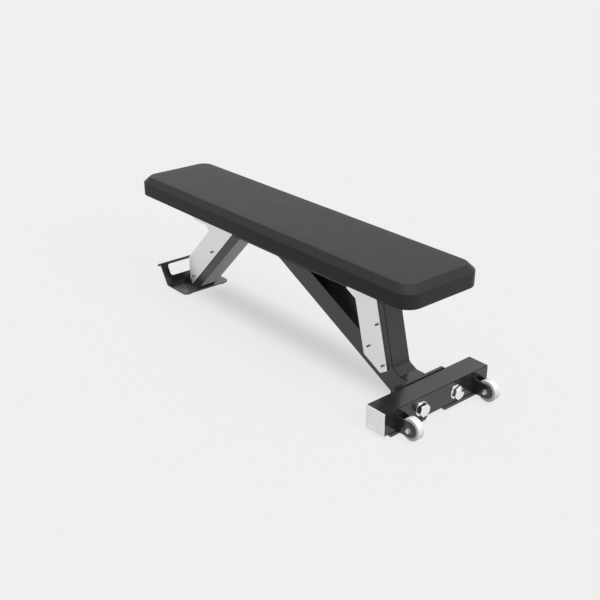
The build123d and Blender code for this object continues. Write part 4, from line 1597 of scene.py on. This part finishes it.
@dataclass
class SidePlates:
    """Satin steel plates on the sides of the joints, with their small cap screws."""

    edge: float = 0.5 * MM
    shank: float = 2.0 * MM
    shank_reach: float = 8.0 * MM
    head_edge: float = 0.6 * MM
    head_steps: int = 5
    socket_flats: float = 3.0 * MM
    socket_depth: float = 3.0 * MM
    socket_mouth: float = 0.62
    lead_in: float = 0.15 * MM
    lead_in_top: float = 0.05 * MM
    lead_in_end: float = 0.25 * MM
    drill_share: float = 0.5
    drill_depth: float = 0.4 * MM
    crease: float = 40.0
    steps: int = 48

    def build(self, palette: Palette) -> None:
        """Soften the plates' edges and make their screws.

        Args:
            palette: Materials of the bench.
        """
        for hand in Hand:
            softened(palette, f"front_side_plate_{hand.label}", self.edge)
            softened(palette, f"rear_side_plate_{hand.label}", self.edge)
        self.screws(palette)

    def seats(self) -> Iterable[tuple[Vector, float, float, float]]:
        """Find each screw of the model, in the order of its mesh.

        Yields:
            Middle of the head's seat, way it faces, head radius and head height.
        """
        source = frame["nodes"]["plate_screws"].data
        shape = bmesh.new()
        shape.from_mesh(source)
        bmesh.ops.remove_doubles(shape, verts=shape.verts[:], dist=MERGE)
        left = set(shape.verts)
        face_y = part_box("front_side_plate_left")[1].y
        for first in shape.verts:
            if first not in left:
                continue
            left.remove(first)
            stack, island = [first], []
            while stack:
                vert = stack.pop()
                island.append(vert.co.copy())
                for edge in vert.link_edges:
                    other = edge.other_vert(vert)
                    if other in left:
                        left.remove(other)
                        stack.append(other)
            low = Vector([min(point[axis] for point in island) for axis in range(3)])
            high = Vector([max(point[axis] for point in island) for axis in range(3)])
            facing = 1.0 if high.y + low.y > 0 else -1.0
            middle = (low + high) / 2
            tall = max(high.y, -low.y) - face_y
            seat = Vector((middle.x, facing * face_y, middle.z))
            yield seat, facing, (high.x - low.x) / 2, tall
        shape.free()

    def screws(self, palette: Palette) -> None:
        """Make the cap heads with their hexagon sockets.

        Args:
            palette: Materials of the bench.
        """
        shape = bmesh.new()
        for seat, facing, radius, tall in self.seats():
            self.screw(shape, seat, facing, radius, tall)
        piece = new_piece("plate_screw_heads", shape, Body.FRAME, self.crease)
        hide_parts("plate_screws")
        palette.paint(piece, Slot.SCREW)

    def screw(
        self,
        shape: bmesh.types.BMesh,
        seat: Vector,
        facing: float,
        radius: float,
        tall: float,
    ) -> None:
        """Add one screw head.

        Args:
            shape: Mesh that gets the head.
            seat: Middle of the head's seat.
            facing: 1 where the head faces left, -1 where it faces right.
            radius: Radius of the head.
            tall: Height of the head.
        """
        profile = [(self.shank, -self.shank_reach), (self.shank, 0.0), (radius, 0.0)]
        for step in range(self.head_steps + 1):
            angle = math.pi / 2 * step / self.head_steps
            out = radius - self.head_edge * (1 - math.cos(angle))
            profile.append((out, tall - self.head_edge * (1 - math.sin(angle))))
        profile.append((self.socket_flats * self.socket_mouth, tall))
        rings = [self.round_ring(seat, facing, out, rise) for out, rise in profile]
        flats = self.socket_flats / 2
        floor = tall - self.socket_depth
        socket = (
            (flats + self.lead_in, tall - self.lead_in_top),
            (flats, tall - self.lead_in_end),
            (flats, floor),
        )
        rings += [self.hexagon_ring(seat, facing, out, rise) for out, rise in socket]
        tip = floor - self.drill_depth
        rings.append(self.round_ring(seat, facing, flats * self.drill_share, tip))
        skin(shape, rings)

    def round_ring(self, seat: Vector, facing: float, radius: float, rise: float) -> Ring:
        """Circle about the screw's axis.

        Args:
            seat: Middle of the head's seat.
            facing: Way that the head faces.
            radius: Radius of the circle.
            rise: Height above the seat.

        Returns:
            Points of the circle.
        """
        points = []
        for step in range(self.steps):
            angle = math.tau * step / self.steps
            out = Vector((math.cos(angle), 0, math.sin(angle))) * radius
            points.append(seat + out + Vector((0, facing * rise, 0)))
        return points

    def hexagon_ring(self, seat: Vector, facing: float, flats: float, rise: float) -> Ring:
        """Hexagon about the screw's axis.

        Args:
            seat: Middle of the head's seat.
            facing: Way that the head faces.
            flats: Half of the width across flats.
            rise: Height above the seat.

        Returns:
            Points of the hexagon.
        """
        points = []
        sixth = math.pi / 3
        for step in range(self.steps):
            angle = math.tau * step / self.steps
            off_flat = (angle + sixth / 2) % sixth - sixth / 2
            out = Vector((math.cos(angle), 0, math.sin(angle))) * (flats / math.cos(off_flat))
            points.append(seat + out + Vector((0, facing * rise, 0)))
        return points


@dataclass
class RearFoot:
    """Bent steel foot with its hand-hold, on four rubber discs."""

    edge: float = 0.8 * MM
    disc_edge: float = 0.8 * MM
    # how far back from the foot's front the painted reflection starts and is full
    scuff_start: float = 88 * MM
    scuff_full: float = 56 * MM

    def build(self, palette: Palette) -> None:
        """Soften the sheet's edges and dress what holds it off the floor.

        Args:
            palette: Materials of the bench.
        """
        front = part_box("rear_foot")[1].x
        paint = FINISHES[Slot.FRAME_PAINT]
        reflection_painted_paint = TroddenPaint(
            "trodden_paint",
            paint.tone,
            paint.rough,
            paint.tone_shift,
            paint.rough_shift,
            ior=paint.ior,
            scuff_start=front - self.scuff_start,
            scuff_full=front - self.scuff_full,
        )
        foot = softened(palette, "rear_foot", self.edge)
        # the foot's paint gets a reflection painted lighter towards its front
        foot.data.materials[0] = reflection_painted_paint.material()
        softened(palette, "rear_foot_discs", self.disc_edge)
        palette.paint_node("rear_foot_screws")


@dataclass
class CrossTube:
    """Front cross tube with its caps, rubber feet, flange and heavy bolts."""

    edge: float = 0.6 * MM
    hexagon_edge: float = 0.7 * MM
    bolt_turn: float = 42.0

    def build(self, palette: Palette) -> None:
        """Dress the pieces round the cross tube.

        Args:
            palette: Materials of the bench.
        """
        softened(palette, "flange_plate", self.edge)
        for hand in Hand:
            softened(palette, f"end_cap_{hand.label}", self.edge)
            softened(palette, f"cross_foot_{hand.label}", self.edge)
        for node in ("flange_nuts", "flange_washers"):
            softened(palette, node, self.hexagon_edge, crease=HEXAGON_CREASE)
        bolts = softened(palette, "flange_bolts", self.hexagon_edge, crease=HEXAGON_CREASE)
        self.turn(bolts)
        palette.paint_node("cross_foot_screws")

    def turn(self, bolts: bpy.types.Object) -> None:
        """Turn the two bolts on their axes, as a wrench left them.

        Args:
            bolts: Both bolts in one piece.
        """
        low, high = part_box("flange_washers")
        radius = (high.z - low.z) / 2
        turned = Matrix.Rotation(math.radians(self.bolt_turn), 3, "X")
        for vertex in bolts.data.vertices:
            side = math.copysign(high.y - radius, vertex.co.y)
            axis = Vector((vertex.co.x, side, low.z + radius))
            vertex.co = axis + turned @ (vertex.co - axis)


@dataclass
class Wheels:
    """Transport wheels in their welded forks."""

    shoulder: float = 0.5 * MM
    shoulder_steps: int = 8
    mould_line: float = 0.15 * MM
    steps: int = 128
    core_edge: float = 0.5 * MM
    axle_edge: float = 0.4 * MM
    fork_edge: float = 0.6 * MM
    fork_bead: float = 0.8 * MM
    bead_inset: float = 1.2 * MM
    bead_lift: float = 0.6 * MM
    bead_margin: float = 3 * MM
    ripple: float = 3.2 * MM

    def build(self, palette: Palette) -> None:
        """Make both wheels and dress their forks and axles.

        Args:
            palette: Materials of the bench.
        """
        bead = WeldBead(self.fork_bead, self.ripple)
        beads = bmesh.new()
        for hand in Hand:
            self.tyre(palette, hand)
            softened(palette, f"wheel_core_{hand.label}", self.core_edge)
            palette.paint_node(f"wheel_bush_{hand.label}")
            softened(palette, f"wheel_fork_{hand.label}", self.fork_edge)
            palette.paint_node(f"axle_sleeve_{hand.label}")
            for part in ("bolt", "nut", "washers"):
                node = f"axle_{part}_{hand.label}"
                softened(palette, node, self.axle_edge, crease=HEXAGON_CREASE)
            self.fork_welds(beads, bead, hand)
        piece = new_piece("fork_weld_beads", beads, Body.FRAME, bead.crease)
        palette.paint(piece, Slot.FRAME_PAINT)

    def tyre(self, palette: Palette, hand: Hand) -> None:
        """Make one tyre with rounded shoulders.

        Args:
            palette: Materials of the bench.
            hand: Side that the wheel is on.
        """
        node = f"wheel_tyre_{hand.label}"
        low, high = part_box(node)
        outer, half = (high.z - low.z) / 2, (high.y - low.y) / 2
        inner = (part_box(f"wheel_core_{hand.label}")[1].z - low.z) - outer
        line = self.mould_line
        profile = filleted(
            (
                (inner, half),
                (outer, half),
                (outer - line, 2 * line),
                (outer, 0.0),
                (outer - line, -2 * line),
                (outer, -half),
                (inner, -half),
            ),
            (self.shoulder, 0, 0, 0, self.shoulder),
            self.shoulder_steps,
        )
        centre = (low + high) / 2
        name = f"tyre_{hand.label}"
        piece = lathed(name, profile, centre, hand.wheel_body, self.steps)
        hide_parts(node)
        palette.paint(piece, Slot.TYRE)

    def fork_welds(self, shape: bmesh.types.BMesh, bead: WeldBead, hand: Hand) -> None:
        """Lay the two upright beads between a fork and the cross tube.

        Args:
            shape: Mesh that gets the beads.
            bead: Bead to lay.
            hand: Side that the fork is on.
        """
        low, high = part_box(f"wheel_fork_{hand.label}")
        seam = low.x + self.bead_lift
        for across in (low.y + self.bead_inset, high.y - self.bead_inset):
            lower = Vector((seam, across, low.z + self.bead_margin))
            upper = Vector((seam, across, high.z - self.bead_margin))
            bead.lay(shape, (lower, upper), closed=False)


def main() -> None:
    """Build the bench and its studio."""
    logging.basicConfig(level=logging.INFO, format="%(message)s")
    palette = Palette()
    Studio().build()
    for part in (SeatPad(), WeldedFrame(), SidePlates(), RearFoot(), CrossTube(), Wheels()):
        LOG.info("building %s", type(part).__name__)
        part.build(palette)


if __name__ == "__main__":
    main()
